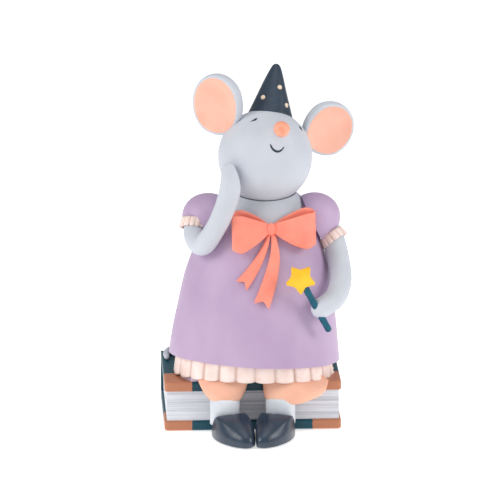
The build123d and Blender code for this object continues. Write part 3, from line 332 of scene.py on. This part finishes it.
# Each fold's X at the hem, its depth and its half width.
FOLDS = ((-31, 1.3, 5), (-17, 0.9, 6), (12, 0.5, 7), (27, 0.9, 6), (39, 1.0, 4))
FOLDS_FADE, FLAT_SHOULDER_R, SEAM_GAP = 86, 14.5, 0.4
dress = bmesh.new()
heights = [18 + 2 * step for step in range(49)]
for near, far in zip(heights, heights[1:]):
    rings = [
        hoop(dress, Matrix.Translation((*body_at(z).xy, z)), *body_at(z).zw, 144) for z in (near, far)
    ]
    bmesh.ops.bridge_loops(dress, edges=rings[0] + rings[1])
bmesh.ops.remove_doubles(dress, verts=dress.verts, dist=0.01)
for vert in dress.verts:
    x, y, z = vert.co
    middle_x, middle_y, wide, deep = body_at(z)
    fade = min(1, max(0, (FOLDS_FADE - z) / 58)) ** 1.5 * min(1, max(0, (SEAM_Y - 4 - y) / 12))
    along = (x - middle_x) / wide
    depth = sum(d * exp(-(((along * 43 - at) / w) ** 2)) for at, d, w in FOLDS)
    inwards = Vector((middle_x - x, middle_y - y, 0)).normalized()
    vert.co += inwards * fade * depth
for shoulder, axis in ((SHOULDER, left_axis), (right_shoulder, right_axis)):
    for vert in dress.verts:
        offset = vert.co - shoulder
        out = offset.dot(axis)
        if out > -SEAM_GAP and (offset - axis * out).length < FLAT_SHOULDER_R:
            vert.co -= axis * (out + SEAM_GAP)
cut_away(dress, HEM, -HEM_TILT)
cut_away(dress, NECKLINE, NECKLINE_TILT)
cut_away(dress, (0, SEAM_Y, 0), (0, 1, 0))
lilac_paint = paint("lilac_paint", LILAC, LILAC_SHADE, 0.46, cloud=28, grain=900, relief=0.07, coat=0.08)
walled(piece("dress_front_shell", dress, lilac_paint, "root", "dress_lilac", "dress_front"), WALL, 0.9)
dress_node("dress_back", lilac_paint)
dress_node("seat_plate", paint("seat_plate_resin", (214, 196, 214), (190, 170, 192), 0.6))

# ---------------------------------------------------------------- petticoat frill
# A band of pleats under the hem, cast as one ring and glued inside the skirt. Pale pink, with brown painted
# shade in the creases. It stands in front of the book and just clears the book's top at the sides and back.
FRILL, FRILL_SHADE, FRILL_CREASE_SHADE = (248, 230, 223), (236, 208, 197), (176, 132, 112)
FRILL_FOOT, FRILL_FOOT_TILT = 22.3, Vector((0.03, 0.13))  # its lower edge slopes less than the hem
FRILL_INSIDE, FRILL_OVERLAP = 4.6, 2.5


def flat_hoops(form, rows, sides=48):
    """Level oval rings, each given by its middle and its two half sizes."""
    return [hoop(form, Matrix.Translation((x, y, z)), wide, deep, sides) for x, y, z, wide, deep in rows]


def pleated(rows, pleats, depth, sides):
    """A band of level ovals, top one first, whose wall swells between sharp creases, marked for painted shade."""
    band = bmesh.new()
    hoops = flat_hoops(band, rows, sides)
    for near, far in zip(hoops, hoops[1:]):
        bmesh.ops.bridge_loops(band, edges=near + far)
    crease_shade = band.verts.layers.float.new("crease_shade")
    top, bottom = rows[0][2], rows[-1][2]
    middle = Vector(rows[0][:2])
    for vert in band.verts:
        out = vert.co.xy - middle
        turn = atan2(out.y, out.x)
        swing = turn + 0.9 * sin(3 * turn + 0.7) / pleats
        swell = abs(sin(swing * pleats / 2)) ** 0.45 - 0.75
        vert[crease_shade] = max(0, 1 - (swell + 0.75) / 0.72) * (0.75 + 0.25 * sin(5 * turn))
        low = (top - vert.co.z) / (top - bottom)
        vert.co.xy += out.normalized() * depth * swell * (0.1 + 0.9 * low)
        vert.co.z -= low * 0.25 * depth * swell * (top - bottom) / 4
    return band


middle_x, middle_y, wide, deep = body_at(28)
frill = pleated(
    [
        (middle_x, middle_y, -low, wide - FRILL_INSIDE + 1.5 * low, deep - FRILL_INSIDE + 1.5 * low)
        for low in (0, 0.15, 0.3, 0.45, 0.6, 0.75, 0.9, 1)
    ],
    pleats=24, depth=1.5, sides=768,
)
BOOK_TOP, FRONT_OF_BOOK = 25.1, -32.6  # the frill's foot clears the one and hangs lower before the other
for vert in frill.verts:
    top = HEM.z + FRILL_OVERLAP - HEM_TILT.x * vert.co.x - HEM_TILT.y * vert.co.y
    foot = FRILL_FOOT - FRILL_FOOT_TILT.dot(vert.co.xy)
    vert.co.z = top + vert.co.z * (top - foot)
    if vert.co.y > FRONT_OF_BOOK:
        vert.co.z = max(vert.co.z, BOOK_TOP)
frill_paint = paint("frill_paint", FRILL, FRILL_SHADE, 0.6, cloud=190, relief=0.05)
# Painted shade: brown laid along the pleats' creases, as far as the mark that pleated() leaves on each vertex.
wash_and_crease_shade = frill_paint.node_tree.nodes.new("ShaderNodeAttribute")
wash_and_crease_shade.attribute_name = "crease_shade"
layer(frill_paint, FRILL_CREASE_SHADE, wash_and_crease_shade)
walled(piece("petticoat_frill", frill, frill_paint, "root", "frill_pink", "hem_frill"), 0.9)

# ---------------------------------------------------------------- tail
# A tapering tail, cast on its own and glued to the back of the skirt. It lies on the book, round to the book's
# right corner.
FUR, FUR_SHADE = (204, 208, 216), (192, 197, 207)
TAIL_Z = 27.05
TAIL = (
    ((0.0, 18.9, TAIL_Z), 1.95),
    ((-7.0, 24.3, TAIL_Z), 1.95),
    ((-14.0, 28.3, TAIL_Z), 1.95),
    ((-23.5, 28.9, TAIL_Z), 1.9),
    ((-33.0, 27.4, TAIL_Z), 1.85),
    ((-39.4, 22.3, TAIL_Z), 1.75),
    ((-41.6, 16.0, TAIL_Z - 0.1), 1.6),
    ((-41.5, 9.6, TAIL_Z - 0.3), 1.3),
)


def between(rows, at):
    """The smooth curve through rows of numbers, a whole number of rows plus a part along."""
    index = min(int(at), len(rows) - 2)
    part = at - index
    before, start, end, after = (
        Vector(rows[min(max(index + step, 0), len(rows) - 1)]) for step in (-1, 0, 1, 2)
    )
    return start + 0.5 * part * (
        end - before
        + part * (2 * before - 5 * start + 4 * end - after + part * (3 * (start - end) + after - before))
    )


def skin_over(form, hoops):
    """The skin over a row of rings, closed at both ends."""
    for near, far in zip(hoops, hoops[1:]):
        bmesh.ops.bridge_loops(form, edges=near + far)
    for end in (hoops[0], hoops[-1]):
        bmesh.ops.contextual_create(form, geom=end)


def limb(stations, sides=32, steps=5):
    """A soft round limb through stations, each a centre and a radius, with a dome at each end."""
    form = bmesh.new()
    rows = [(*centre, radius) for centre, radius in stations]
    track = [between(rows, step / steps) for step in range(steps * (len(rows) - 1) + 1)]
    first, final = track[0], track[-1]
    ways = [(after.xyz - before.xyz).normalized() for before, after in zip([first] + track, track[1:] + [final])]
    dome = (0.4, 0.8, 1.2, 1.5)
    spots = [(first.xyz - ways[0] * first.w * sin(a), first.w * cos(a), ways[0]) for a in reversed(dome)]
    spots += [(row.xyz, row.w, way) for row, way in zip(track, ways)]
    spots += [(final.xyz + ways[-1] * final.w * sin(a), final.w * cos(a), ways[-1]) for a in dome]
    turn = ways[0].to_track_quat("Z", "Y")
    hoops, last = [], ways[0]
    for centre, radius, way in spots:
        turn = last.rotation_difference(way) @ turn
        last = way
        hoops.append(hoop(form, Matrix.Translation(centre) @ turn.to_matrix().to_4x4(), radius, radius, sides))
    skin_over(form, hoops)
    return form


fur_paint = paint("fur_paint", FUR, FUR_SHADE, 0.58, cloud=55, grain=1100, relief=0.06)
piece("soft_tail", limb(TAIL, sides=20), fur_paint, "root", "fur_grey", "tail")

# ---------------------------------------------------------------- legs and shoes
# Two short legs hang in front of the book: peach bloomers, pale socks and soft dark shoes whose toes meet.
# Each is cast solid and glued to the one above.
PEACH, PEACH_SHADE = (248, 193, 166), (240, 174, 148)
SOCK, SOCK_SHADE = (222, 226, 232), (202, 208, 217)
NAVY, NAVY_SHADE = (47, 63, 81), (35, 49, 65)
ANKLE_Y, ANKLE_WIDE, ANKLE_DEEP = -40.8, 7.4, 6.2
# For each side: the ankle's X, the bloomer's rings (X, Y, Z, half width, half depth), the shoe's middle X and
# its turn, and which way is out.
LEGS = {
    "right": (
        -14.4,
        ((-14.3, -40.4, 18.2, 7.6, 6.0), (-14.4, -40.0, 19.6, 8.8, 6.5), (-14.8, -39.4, 23.5, 11.2, 6.9),
         (-15.4, -38.8, 28.0, 13.0, 6.8), (-15.4, -38.0, 33.0, 13.4, 5.4)),
        -10.0, 22, -1,
    ),
    "left": (
        13.2,
        ((13.6, -40.4, 18.4, 7.8, 6.0), (14.8, -40.0, 19.8, 9.8, 6.5), (17.2, -39.4, 23.2, 12.6, 6.9),
         (20.2, -38.8, 27.6, 15.8, 6.8), (21.2, -38.0, 33.0, 16.4, 5.4)),
        9.2, -24, 1,
    ),
}
SHOE_Y, SHOE_Z, SHOE_WIDE, SHOE_LONG, SHOE_HIGH = -49.4, 2.6, 9.4, 18.2, 10.2
BOOK_FRONT, SOCK_IN_SHOE = -32.35, 7


def softened(shape, levels=2):
    """Rounds a piece's faces off, as a mould's polished wall does."""
    soft = shape.modifiers.new("soft", "SUBSURF")
    soft.levels = soft.render_levels = levels
    return shape


peach_paint = paint("peach_paint", PEACH, PEACH_SHADE, 0.55, cloud=80, relief=0.05)
sock_paint = paint("sock_paint", SOCK, SOCK_SHADE, 0.6, cloud=120, grain=1600, relief=0.08)
shoe_paint = paint("shoe_paint", NAVY, NAVY_SHADE, 0.32, cloud=110, grain=700, relief=0.06, coat=0.35)
for side, (ankle_x, rings, shoe_x, turn, out) in LEGS.items():
    sock = bmesh.new()
    rows = [(ankle_x, ANKLE_Y, z, ANKLE_WIDE + grow, ANKLE_DEEP + grow)
            for z, grow in ((6.2, 0), (9, 0), (12, -0.15), (15, -0.1), (18, 0), (19.6, -0.5), (20, -2))]
    skin_over(sock, flat_hoops(sock, rows))
    piece(f"knit_sock_{side}", sock, sock_paint, "root", "sock_white", f"sock_{side}")

    bloomer = bmesh.new()
    first, last = rings[0], rings[-1]
    foot = (*first[:3], first[3] - 1.4, first[4] - 1.4)
    top = (*last[:2], last[2] + 1.6, last[3] - 3, last[4] - 3)
    skin_over(bloomer, flat_hoops(bloomer, [foot, *rings, top], 32))
    for vert in bloomer.verts:
        vert.co.z -= 0.3 * max(0, vert.co.x - 12)
        under = vert.co.z - (FRILL_FOOT - FRILL_FOOT_TILT.dot(vert.co.xy))
        behind = front_of_body(vert.co.x, 28, -FRILL_INSIDE - 2.6)
        vert.co.y += max(0, behind - vert.co.y) * min(1, max(0, (under + 2.5) / 3))
        vert.co.y = min(vert.co.y, BOOK_FRONT)
    softened(piece(f"puffed_bloomer_{side}", bloomer, peach_paint, "root", "peach", f"bloomer_{side}"))

    shoe = bmesh.new()
    bmesh.ops.create_uvsphere(shoe, u_segments=48, v_segments=32, radius=1)
    for vert in shoe.verts:
        round_x, round_z = abs(vert.co.x), abs(vert.co.z)
        square = sqrt(round_x**2 + round_z**2) / max(round_x, round_z, 0.001) - 1
        heel = 1 + 0.62 * square * min(1, max(0, vert.co.y + 0.45) / 0.6) * min(1, max(round_x, round_z) / 0.3)
        vert.co.x, vert.co.z = vert.co.x * heel, vert.co.z * heel
        vert.co.x *= 1 - 0.2 * max(-vert.co.y, 0) ** 2
        vert.co.z *= 1 + 0.25 * vert.co.y
    bmesh.ops.scale(shoe, vec=(SHOE_WIDE, SHOE_LONG, SHOE_HIGH), verts=shoe.verts)
    bmesh.ops.rotate(shoe, matrix=Matrix.Rotation(radians(turn), 3, "Z"), verts=shoe.verts)
    bmesh.ops.translate(shoe, vec=(shoe_x, SHOE_Y, SHOE_Z), verts=shoe.verts)
    sole = bmesh.ops.contextual_create(shoe, geom=cut_away(shoe, (0, 0, 0.05), (0, 0, -1)))
    bmesh.ops.bevel(
        shoe, geom=sole["faces"][0].edges[:], affect="EDGES", offset=0.7, segments=3, profile=0.5, material=-1
    )
    for vert in shoe.verts:
        across = (vert.co.x - ankle_x) / (ANKLE_WIDE + 0.7), (vert.co.y - ANKLE_Y) / (ANKLE_DEEP + 0.9)
        inside = 1 - Vector(across).length
        if vert.co.z > SOCK_IN_SHOE and inside > 0:
            vert.co.z -= (vert.co.z - SOCK_IN_SHOE) * min(1, 5 * inside)
        vert.co.y = min(vert.co.y, BOOK_FRONT)
        vert.co.x = out * max(out * vert.co.x, 0.2)
    softened(piece(f"soft_shoe_{side}", shoe, shoe_paint, "root", "navy", f"shoe_{side}"), 1)

# ---------------------------------------------------------------- chest
# The grey chest between the neckline and the head, a separate casting that also holds the neck's bush.
dress_node("bust", fur_paint)
bush_resin = paint("acetal", (228, 226, 218), (212, 208, 198), 0.35, cloud=300, relief=0.01)
for node in ("neck_bush", "shoulder_bush"):
    dress_node(node, bush_resin)

# ---------------------------------------------------------------- bow
# A coral ribbon bow at the neckline: two open loops pinched into a small knot and two notched tails that lie
# on the dress. It is cast in four pieces and glued on: the knot, each loop, and the tails as a pair.
CORAL, CORAL_SHADE = (255, 153, 132), (250, 136, 116)
RIBBON = 1.1
KNOT = Vector((9.3, -23.6, 101.2))
coral_paint = paint("coral_paint", CORAL, CORAL_SHADE, 0.5, cloud=90, relief=0.05)


def ribbon_loop(outer_x, outer_top, outer_bottom, gape):
    """One loop of the bow: a band that runs out along the front, round its outer end and back to the knot."""
    band = bmesh.new()
    bmesh.ops.create_grid(band, x_segments=48, y_segments=10, size=0.5)
    for vert in band.verts:
        run, rise = vert.co.x + 0.5, vert.co.y + 0.5
        out, front = sin(pi * run) ** 0.8, (1 + cos(pi * run)) / 2
        corner = max(0, out - 0.72) / 0.28
        top = KNOT.z + 1.6 + (outer_top + 0.7 - KNOT.z) * out**0.9 + 0.5 * sin(pi * out)
        top -= gape * front * out + 1.8 * corner**2
        bottom = KNOT.z - 1.8 + (outer_bottom - 0.6 - KNOT.z) * out**0.9 - sin(pi * out) + 3.0 * corner**2
        x = KNOT.x + (outer_x - KNOT.x) * (0.04 + 0.96 * out)
        z = bottom + (top - bottom) * rise
        stand = 1.0 + front * (1.2 + 3.9 * sin(pi * run)) + 0.7 * sin(pi * rise) * front * out
        vert.co = (x, front_of_body(x, min(z, 104), stand) - 2.5 * out**4, z)
    return band


for side, *ends in (("left", 30.8, 109.2, 91.6, 4.2), ("right", -9.2, 110.0, 91.0, 4.0)):
    loop = piece(
        f"ribbon_loop_{side}", ribbon_loop(*ends), coral_paint, "root", "bow_coral", f"bow_loop_{side}"
    )
    softened(walled(loop, RIBBON), 1)

# Each tail's middle line in X and Z with its half width.
TAILS = (
    ((8.6, 101.0, 0.9), (7.2, 95.0, 1.3), (3.6, 87.5, 2.2), (-0.6, 81.2, 2.9), (-5.2, 75.6, 3.5)),
    ((9.8, 101.0, 1.0), (10.8, 95.0, 1.7), (10.9, 87.0, 2.8), (8.3, 77.0, 3.7), (4.3, 66.6, 4.2)),
)
tails = bmesh.new()
for lift, rows in enumerate(TAILS):
    strip = bmesh.ops.create_grid(tails, x_segments=28, y_segments=6, size=0.5)["verts"]
    for vert in strip:
        run, across = vert.co.x + 0.5, 2 * vert.co.y
        at = run * (len(rows) - 1)
        here, ahead = between(rows, at), between(rows, at + 0.02)
        along = (ahead - here).xy.normalized()
        notch = 3.0 * (abs(across) - 0.5) * run**9
        spot = here.xy + Vector((-along.y, along.x)) * here.z * across + along * notch
        curl = 1.5 + 0.5 * lift + 0.35 * cos(2.5 * across) + 0.5 * sin(5 * run) ** 2
        vert.co = (spot.x, front_of_body(spot.x, spot.y, curl), spot.y)
softened(walled(piece("ribbon_tails", tails, coral_paint, "root", "bow_coral", "bow_tails"), RIBBON), 1)

knot = bmesh.new()
bmesh.ops.create_uvsphere(knot, u_segments=32, v_segments=20, radius=1)
for vert in knot.verts:
    vert.co.xy *= 1 - 0.10 * abs(cos(3 * atan2(vert.co.y, vert.co.x))) ** 4
bmesh.ops.scale(knot, vec=(2.3, 2.4, 3.3), verts=knot.verts)
bmesh.ops.translate(knot, vec=(KNOT.x, front_of_body(KNOT.x, KNOT.z, 2.6), KNOT.z - 0.3), verts=knot.verts)
piece("ribbon_knot", knot, coral_paint, "root", "bow_coral", "bow_knot")

# ---------------------------------------------------------------- sleeves, arms and paws
# Puffed sleeves over round grey arms that end in mitten paws, with a pleated pink cuff between them. The right
# arm is fixed and lies against the cheek. The left arm turns in the shoulder and holds the wand.
RIGHT_ARM = (
    ((-25.0, -3.0, 103.0), 4.8),
    ((-28.2, -8.0, 98.8), 5.0),
    ((-28.0, -14.0, 94.4), 5.2),
    ((-24.4, -20.3, 92.2), 5.4),
    ((-18.5, -24.0, 101.0), 5.1),
    ((-13.6, -24.6, 112.0), 5.2),
    ((-11.0, -23.9, 121.0), 5.3),
    ((-11.2, -22.7, 128.0), 4.3),
    ((-11.6, -21.8, 131.0), 3.3),
)
LEFT_ARM = (
    ((37.5, -2.0, 99.0), 4.9),
    ((41.2, -5.2, 91.3), 5.6),
    ((43.6, -11.4, 80.8), 5.7),
    ((44.2, -19.2, 72.6), 5.5),
    ((41.0, -28.0, 66.6), 5.3),
    ((33.4, -34.8, 62.8), 5.1),
)
CUFF_R, CUFF_LENGTH = 6.6, 4.8
RIGHT_CUFF = Vector((-27.9, -6.0, 102.0)), Vector((-0.15, -0.45, -0.88))
LEFT_CUFF = Vector((39.8, -4.4, 93.6)), Vector((0.56, -0.34, -0.76))


def standing(place, way):
    """The frame of a ring or a shape that stands square to a direction."""
    return Matrix.Translation(place) @ Vector(way).to_track_quat("Z", "Y").to_matrix().to_4x4()


def puffed_sleeve(shoulder, axis, gather, hang):
    """Half a puff that stands on the dress at the shoulder, drawn in by small gathers at its lower mouth."""
    puff = bmesh.new()
    bmesh.ops.create_uvsphere(puff, u_segments=96, v_segments=48, radius=1)
    bmesh.ops.scale(puff, vec=(SLEEVE_R, SLEEVE_R, 14.2), verts=puff.verts)
    bmesh.ops.transform(puff, matrix=standing(shoulder, axis), verts=puff.verts)
    hang = Vector(hang)
    across = axis.cross(hang).normalized()
    for vert in puff.verts:
        offset = vert.co - shoulder
        low = max(0, offset.dot(hang) / SLEEVE_R)
        vert.co += offset.normalized() * low**3 * gather * cos(11 * atan2(offset.dot(across), offset.dot(hang)))
    cut_away(puff, shoulder - axis * 0.1, -axis, fill=True)
    return puff


def cuff_round(place, way):
    """A pleated cuff round an arm, from a place along a way."""
    rows = [(0, 0, -drop, CUFF_R + flare, CUFF_R + flare)
            for drop, flare in ((0, -0.4), (1.0, 0.0), (2.3, 0.15), (3.6, 0.3), (CUFF_LENGTH, 0.45))]
    ring = pleated(rows, 13, 0.8, 260)
    bmesh.ops.transform(ring, matrix=standing(place, -way), verts=ring.verts)
    return ring


softened(piece("raised_arm", limb(RIGHT_ARM, 40), fur_paint, "root", "fur_grey", "right_arm"), 1)
right_puff = puffed_sleeve(right_shoulder + right_axis * 0.6, right_axis, 0.18, (-0.4, -0.35, -0.85))
piece("puffed_sleeve_right", right_puff, lilac_paint, "root", "dress_lilac", "right_sleeve")
walled(
    piece("pleated_cuff_right", cuff_round(*RIGHT_CUFF), frill_paint, "root", "frill_pink", "right_cuff"), 1.3
)
softened(piece("wand_arm_limb", limb(LEFT_ARM, 40), fur_paint, "wand_arm", "fur_grey", "left_arm"), 1)
left_puff = puffed_sleeve(SHOULDER, left_axis, 0.18, (0.45, -0.2, -0.87))
piece("puffed_sleeve_left", left_puff, lilac_paint, "wand_arm", "dress_lilac", "left_sleeve")
walled(
    piece("pleated_cuff_left", cuff_round(*LEFT_CUFF), frill_paint, "wand_arm", "frill_pink", "left_cuff"), 1.3
)

# ---------------------------------------------------------------- wand
# A teal stick with a puffed yellow star. The stick passes through the paw and is glued there.
STAR, STAR_GLOW = (254, 202, 40), (248, 182, 24)
WAND_TEAL, WAND_SHADE = (0, 98, 120), (0, 70, 92)
star_at, wand_end = Vector((23.2, -38.6, 78.8)), Vector((37.8, -36.0, 51.3))
wand_way = (wand_end - star_at).normalized()
stick = [(tuple(star_at + wand_way * along), radius) for along, radius in
         ((3, 1.5), (7, 1.72), (10.5, 1.6), (14, 1.75), (18, 1.7), (23, 1.75), (27, 1.62), (29.6, 1.7))]
wand_paint = paint("wand_paint", WAND_TEAL, WAND_SHADE, 0.34, cloud=260, grain=420, relief=0.25)
piece("wand_stick", limb(stick, 20), wand_paint, "wand_arm", "wand_teal", "wand_rod")

star = bmesh.new()
points = bmesh.ops.create_circle(star, segments=10, radius=1, cap_ends=True)["verts"]
for index, vert in enumerate(points):
    vert.co *= 8.1 if index % 2 == 0 else 4.8
    vert.co.z = -1.9
front = bmesh.ops.extrude_face_region(star, geom=star.faces[:])["geom"]
front_points = [item for item in front if isinstance(item, bmesh.types.BMVert)]
bmesh.ops.translate(star, vec=(0, 0, 3.6), verts=front_points)
crown = bmesh.ops.poke(star, faces=[item for item in front if isinstance(item, bmesh.types.BMFace)])
bmesh.ops.translate(star, vec=(0, 0, 0.9), verts=crown["verts"])
rims = [edge for edge in star.edges if edge.calc_length() > 2.5 and crown["verts"][0] not in edge.verts]
bmesh.ops.bevel(star, geom=rims, affect="EDGES", offset=1.15, segments=4, profile=0.5, material=-1)
across = wand_way.cross(Vector((0, 1, 0))).normalized()
outward = across.cross(wand_way)
star_frame = Matrix((wand_way, across, -outward)).transposed().to_4x4()
bmesh.ops.rotate(star, matrix=Matrix.Rotation(radians(170), 3, "Z"), verts=star.verts)
bmesh.ops.transform(star, matrix=Matrix.Translation(star_at) @ star_frame, verts=star.verts)
piece(
    "puffed_star", star, paint("star_paint", STAR, STAR_GLOW, 0.42, cloud=200, relief=0.06, coat=0.1),
    "wand_arm", "star_yellow", "wand_star",
)

# ---------------------------------------------------------------- head
# A round head in two glued shells that turns on the neck's spindle, with a small snout, a pink nose, closed
# eyes and a smile painted in dark strokes, dished ears with peach linings and a pointed navy hat with studs.
HEAD, HEAD_R = Vector((7.5, -1.0, 132.6)), 23.6
NOSE, NOSE_R = Vector((14.7, -20.5, 150.8)), 4.0
nose_way = (NOSE - HEAD).normalized()
INK, NOSE_PINK, NOSE_SHADE = (44, 56, 72), (250, 172, 142), (244, 150, 120)


def head_reach(way):
    """How far the head's surface is from its centre in a direction."""
    lean = way.angle(nose_way)
    return HEAD_R + 3.3 * exp(-((lean / 0.25) ** 2)) - 0.15


ball = bmesh.new()
bmesh.ops.create_uvsphere(ball, u_segments=96, v_segments=72, radius=1)
bmesh.ops.transform(ball, matrix=standing((0, 0, 0), nose_way), verts=ball.verts)
for vert in ball.verts:
    vert.co = HEAD + vert.co.normalized() * head_reach(vert.co.normalized())
head_paint = paint("head_paint", FUR, FUR_SHADE, 0.55, cloud=42, grain=1100, relief=0.06)
piece("head_ball", ball, head_paint, "head", "fur_grey", "head_face", "head_back")

tip = bmesh.new()
bmesh.ops.create_uvsphere(tip, u_segments=40, v_segments=28, radius=NOSE_R)
bmesh.ops.scale(tip, vec=(1, 1, 0.93), verts=tip.verts)
bmesh.ops.transform(tip, matrix=standing(NOSE, nose_way), verts=tip.verts)
nose_paint = paint("nose_paint", NOSE_PINK, NOSE_SHADE, 0.42, cloud=300, coat=0.1)
piece("button_nose", tip, nose_paint, "head", "peach", "nose")

# Painted strokes lie on the head. Each is a row of directions from the head's centre, with half widths.
STROKES = {
    "smile": ((0.067, -0.893, 0.446, 0.36), (0.099, -0.918, 0.384, 0.5), (0.159, -0.930, 0.331, 0.58),
              (0.224, -0.923, 0.312, 0.56), (0.292, -0.896, 0.335, 0.44), (0.345, -0.855, 0.388, 0.24)),
    "eye_right": ((-0.314, -0.415, 0.854, 0.25), (-0.271, -0.411, 0.870, 0.5), (-0.232, -0.402, 0.886, 0.7),
                  (-0.203, -0.380, 0.902, 0.5)),
    "eye_left": ((0.716, -0.185, 0.673, 0.45), (0.735, -0.200, 0.648, 0.7), (0.754, -0.210, 0.622, 0.55),
                 (0.768, -0.215, 0.603, 0.3)),
}
ink_paint = paint("ink_paint", INK, (30, 40, 54), 0.4, cloud=500, relief=0.03)
for name, row in STROKES.items():
    line = []
    for *way, half_width in row:
        way = Vector(way)
        line.append((HEAD + way.normalized() * (head_reach(way) - half_width * 0.3), half_width))
    piece(f"painted_{name}", limb(line, 12, 4), ink_paint, "head", "navy")

EARS = {
    "right": (Vector((-15.4, 3.0, 158.2)), Vector((-0.60, -0.78, -0.05)), 1.12),
    "left": (Vector((39.0, 11.0, 143.8)), Vector((0.40, -0.88, -0.18)), 1.0),
}
LINING, LINING_SHADE = (246, 189, 167), (240, 172, 149)
# The ear's profile from the middle of its dish, round its rim to the middle of its back: reach and height.
EAR_PROFILE = (
    (0.0, 0.8), (4.0, 0.95), (8.0, 1.5), (11.0, 2.4), (12.5, 3.0), (13.3, 3.2), (13.9, 2.8), (14.2, 1.8),
    (14.2, 0.0), (13.7, -2.2), (12.4, -4.2), (9.0, -5.6), (4.0, -6.2), (0.0, -6.3),
)
LINING_PROFILE = (
    (0.0, 1.1), (4.0, 1.25), (8.0, 1.8), (11.0, 2.7), (12.4, 3.2), (12.8, 3.1), (12.8, 2.4), (8.0, 0.6),
    (0.0, 0.2),
)
lining_paint = paint("lining_paint", LINING, LINING_SHADE, 0.55, cloud=70, relief=0.06)


def turned(profile, sides=64):
    """A shape turned round its axis from a profile of reach and height."""
    form = bmesh.new()
    chain = [form.verts.new((reach, 0, height)) for reach, height in profile]
    edges = [form.edges.new(pair) for pair in zip(chain, chain[1:])]
    bmesh.ops.spin(
        form, geom=chain + edges, cent=(0, 0, 0), axis=(0, 0, 1), angle=2 * pi, steps=sides, use_merge=True
    )
    bmesh.ops.remove_doubles(form, verts=form.verts, dist=0.02)
    return form


for side, (place, facing, tall) in EARS.items():
    inwards = (HEAD - place).normalized()
    for name, profile, finish, slot, node in (
        ("ear", EAR_PROFILE, head_paint, "fur_grey", "ear"),
        ("ear_lining", LINING_PROFILE, lining_paint, "peach", "ear_lining"),
    ):
        ear = turned(profile)
        bmesh.ops.transform(ear, matrix=standing(place, facing), verts=ear.verts)
        for vert in ear.verts:
            near = (vert.co - place).dot(inwards) / 13.7
            across = (vert.co - place) - inwards * (vert.co - place).dot(inwards)
            vert.co -= across * (0.16 * max(0, near) ** 1.5 - 0.02)
            vert.co.z += (tall - 1) * (vert.co.z - place.z)
        softened(piece(f"dished_{name}_{side}", ear, finish, "head", slot, f"{node}_{side}"), 1)

HAT_AXIS = Vector((0.14, 0.39, 0.91)).normalized()
HAT_PROFILE = (
    (0.0, 19.0), (9.0, 19.2), (11.1, 19.8), (11.3, 20.6), (10.9, 21.6), (9.9, 24.3), (8.3, 29.0), (6.6, 34.0),
    (4.9, 39.0), (3.4, 43.0), (2.5, 45.2), (1.8, 46.4), (1.0, 47.05), (0.0, 47.3),
)
hat = turned(HAT_PROFILE)
for vert in hat.verts:
    turn, high = atan2(vert.co.y, vert.co.x), vert.co.z
    vert.co.xy *= 1 + 0.012 * sin(3 * turn + high * 0.2) + 0.008 * sin(7 * turn - high * 0.35)
bmesh.ops.transform(hat, matrix=standing(HEAD, HAT_AXIS), verts=hat.verts)
hat_paint = paint("hat_paint", (45, 62, 80), (33, 47, 63), 0.42, cloud=140, grain=600, relief=0.14, coat=0.15)
softened(piece("pointed_hat", hat, hat_paint, "head", "navy", "hat"), 1)

# Small round studs lie on the hat. Each is given by its height along the hat's axis and its angle round it.
STUDS = ((25.7, -130), (28.0, 146), (34.4, -154), (26.0, 40), (32.0, -40))
hat_x = Vector((0, HAT_AXIS.z, -HAT_AXIS.y)).normalized()
studs = bmesh.new()
for high, angle in STUDS:
    outward = hat_x * cos(radians(angle)) + HAT_AXIS.cross(hat_x) * sin(radians(angle))
    reach = next(
        start + (end - start) * (high - low) / (top - low)
        for (start, low), (end, top) in zip(HAT_PROFILE, HAT_PROFILE[1:]) if low <= high <= top
    )
    made = bmesh.ops.create_uvsphere(studs, u_segments=24, v_segments=16, radius=1.25)["verts"]
    bmesh.ops.scale(studs, vec=(1, 1, 0.6), verts=made)
    bmesh.ops.transform(studs, matrix=standing(HEAD + HAT_AXIS * high + outward * reach, outward), verts=made)
stud_paint = paint("stud_paint", (240, 222, 200), (222, 194, 158), 0.3, cloud=600, coat=0.3)
piece("hat_studs_round", studs, stud_paint, "head", "stud_cream", "hat_studs")

# ---------------------------------------------------------------- spring motor, key and stop button
# A clockwork movement of brass wheels between two brass plates, inside the dress. Its key and its stop button
# stand out of the back. All of it is turned and milled work, so the CAD's shapes stay.
brass = metal("brass", (214, 178, 108), 0.28)
blued = metal("spring_steel", (150, 156, 168), 0.24)
for node in (
    "great_wheel", "second_wheel", "third_wheel", "ratchet_wheel", "winding_key", "fly", "front_plate",
    "rear_plate",
):
    dress_node(node, brass)
for node in (
    "plate_pillars", "winding_arbor", "second_arbor", "third_arbor", "click", "neck_spindle",
    "shoulder_shaft",
):
    dress_node(node, steel)
dress_node("mainspring", blued)
dress_node("stop_button", bush_resin)
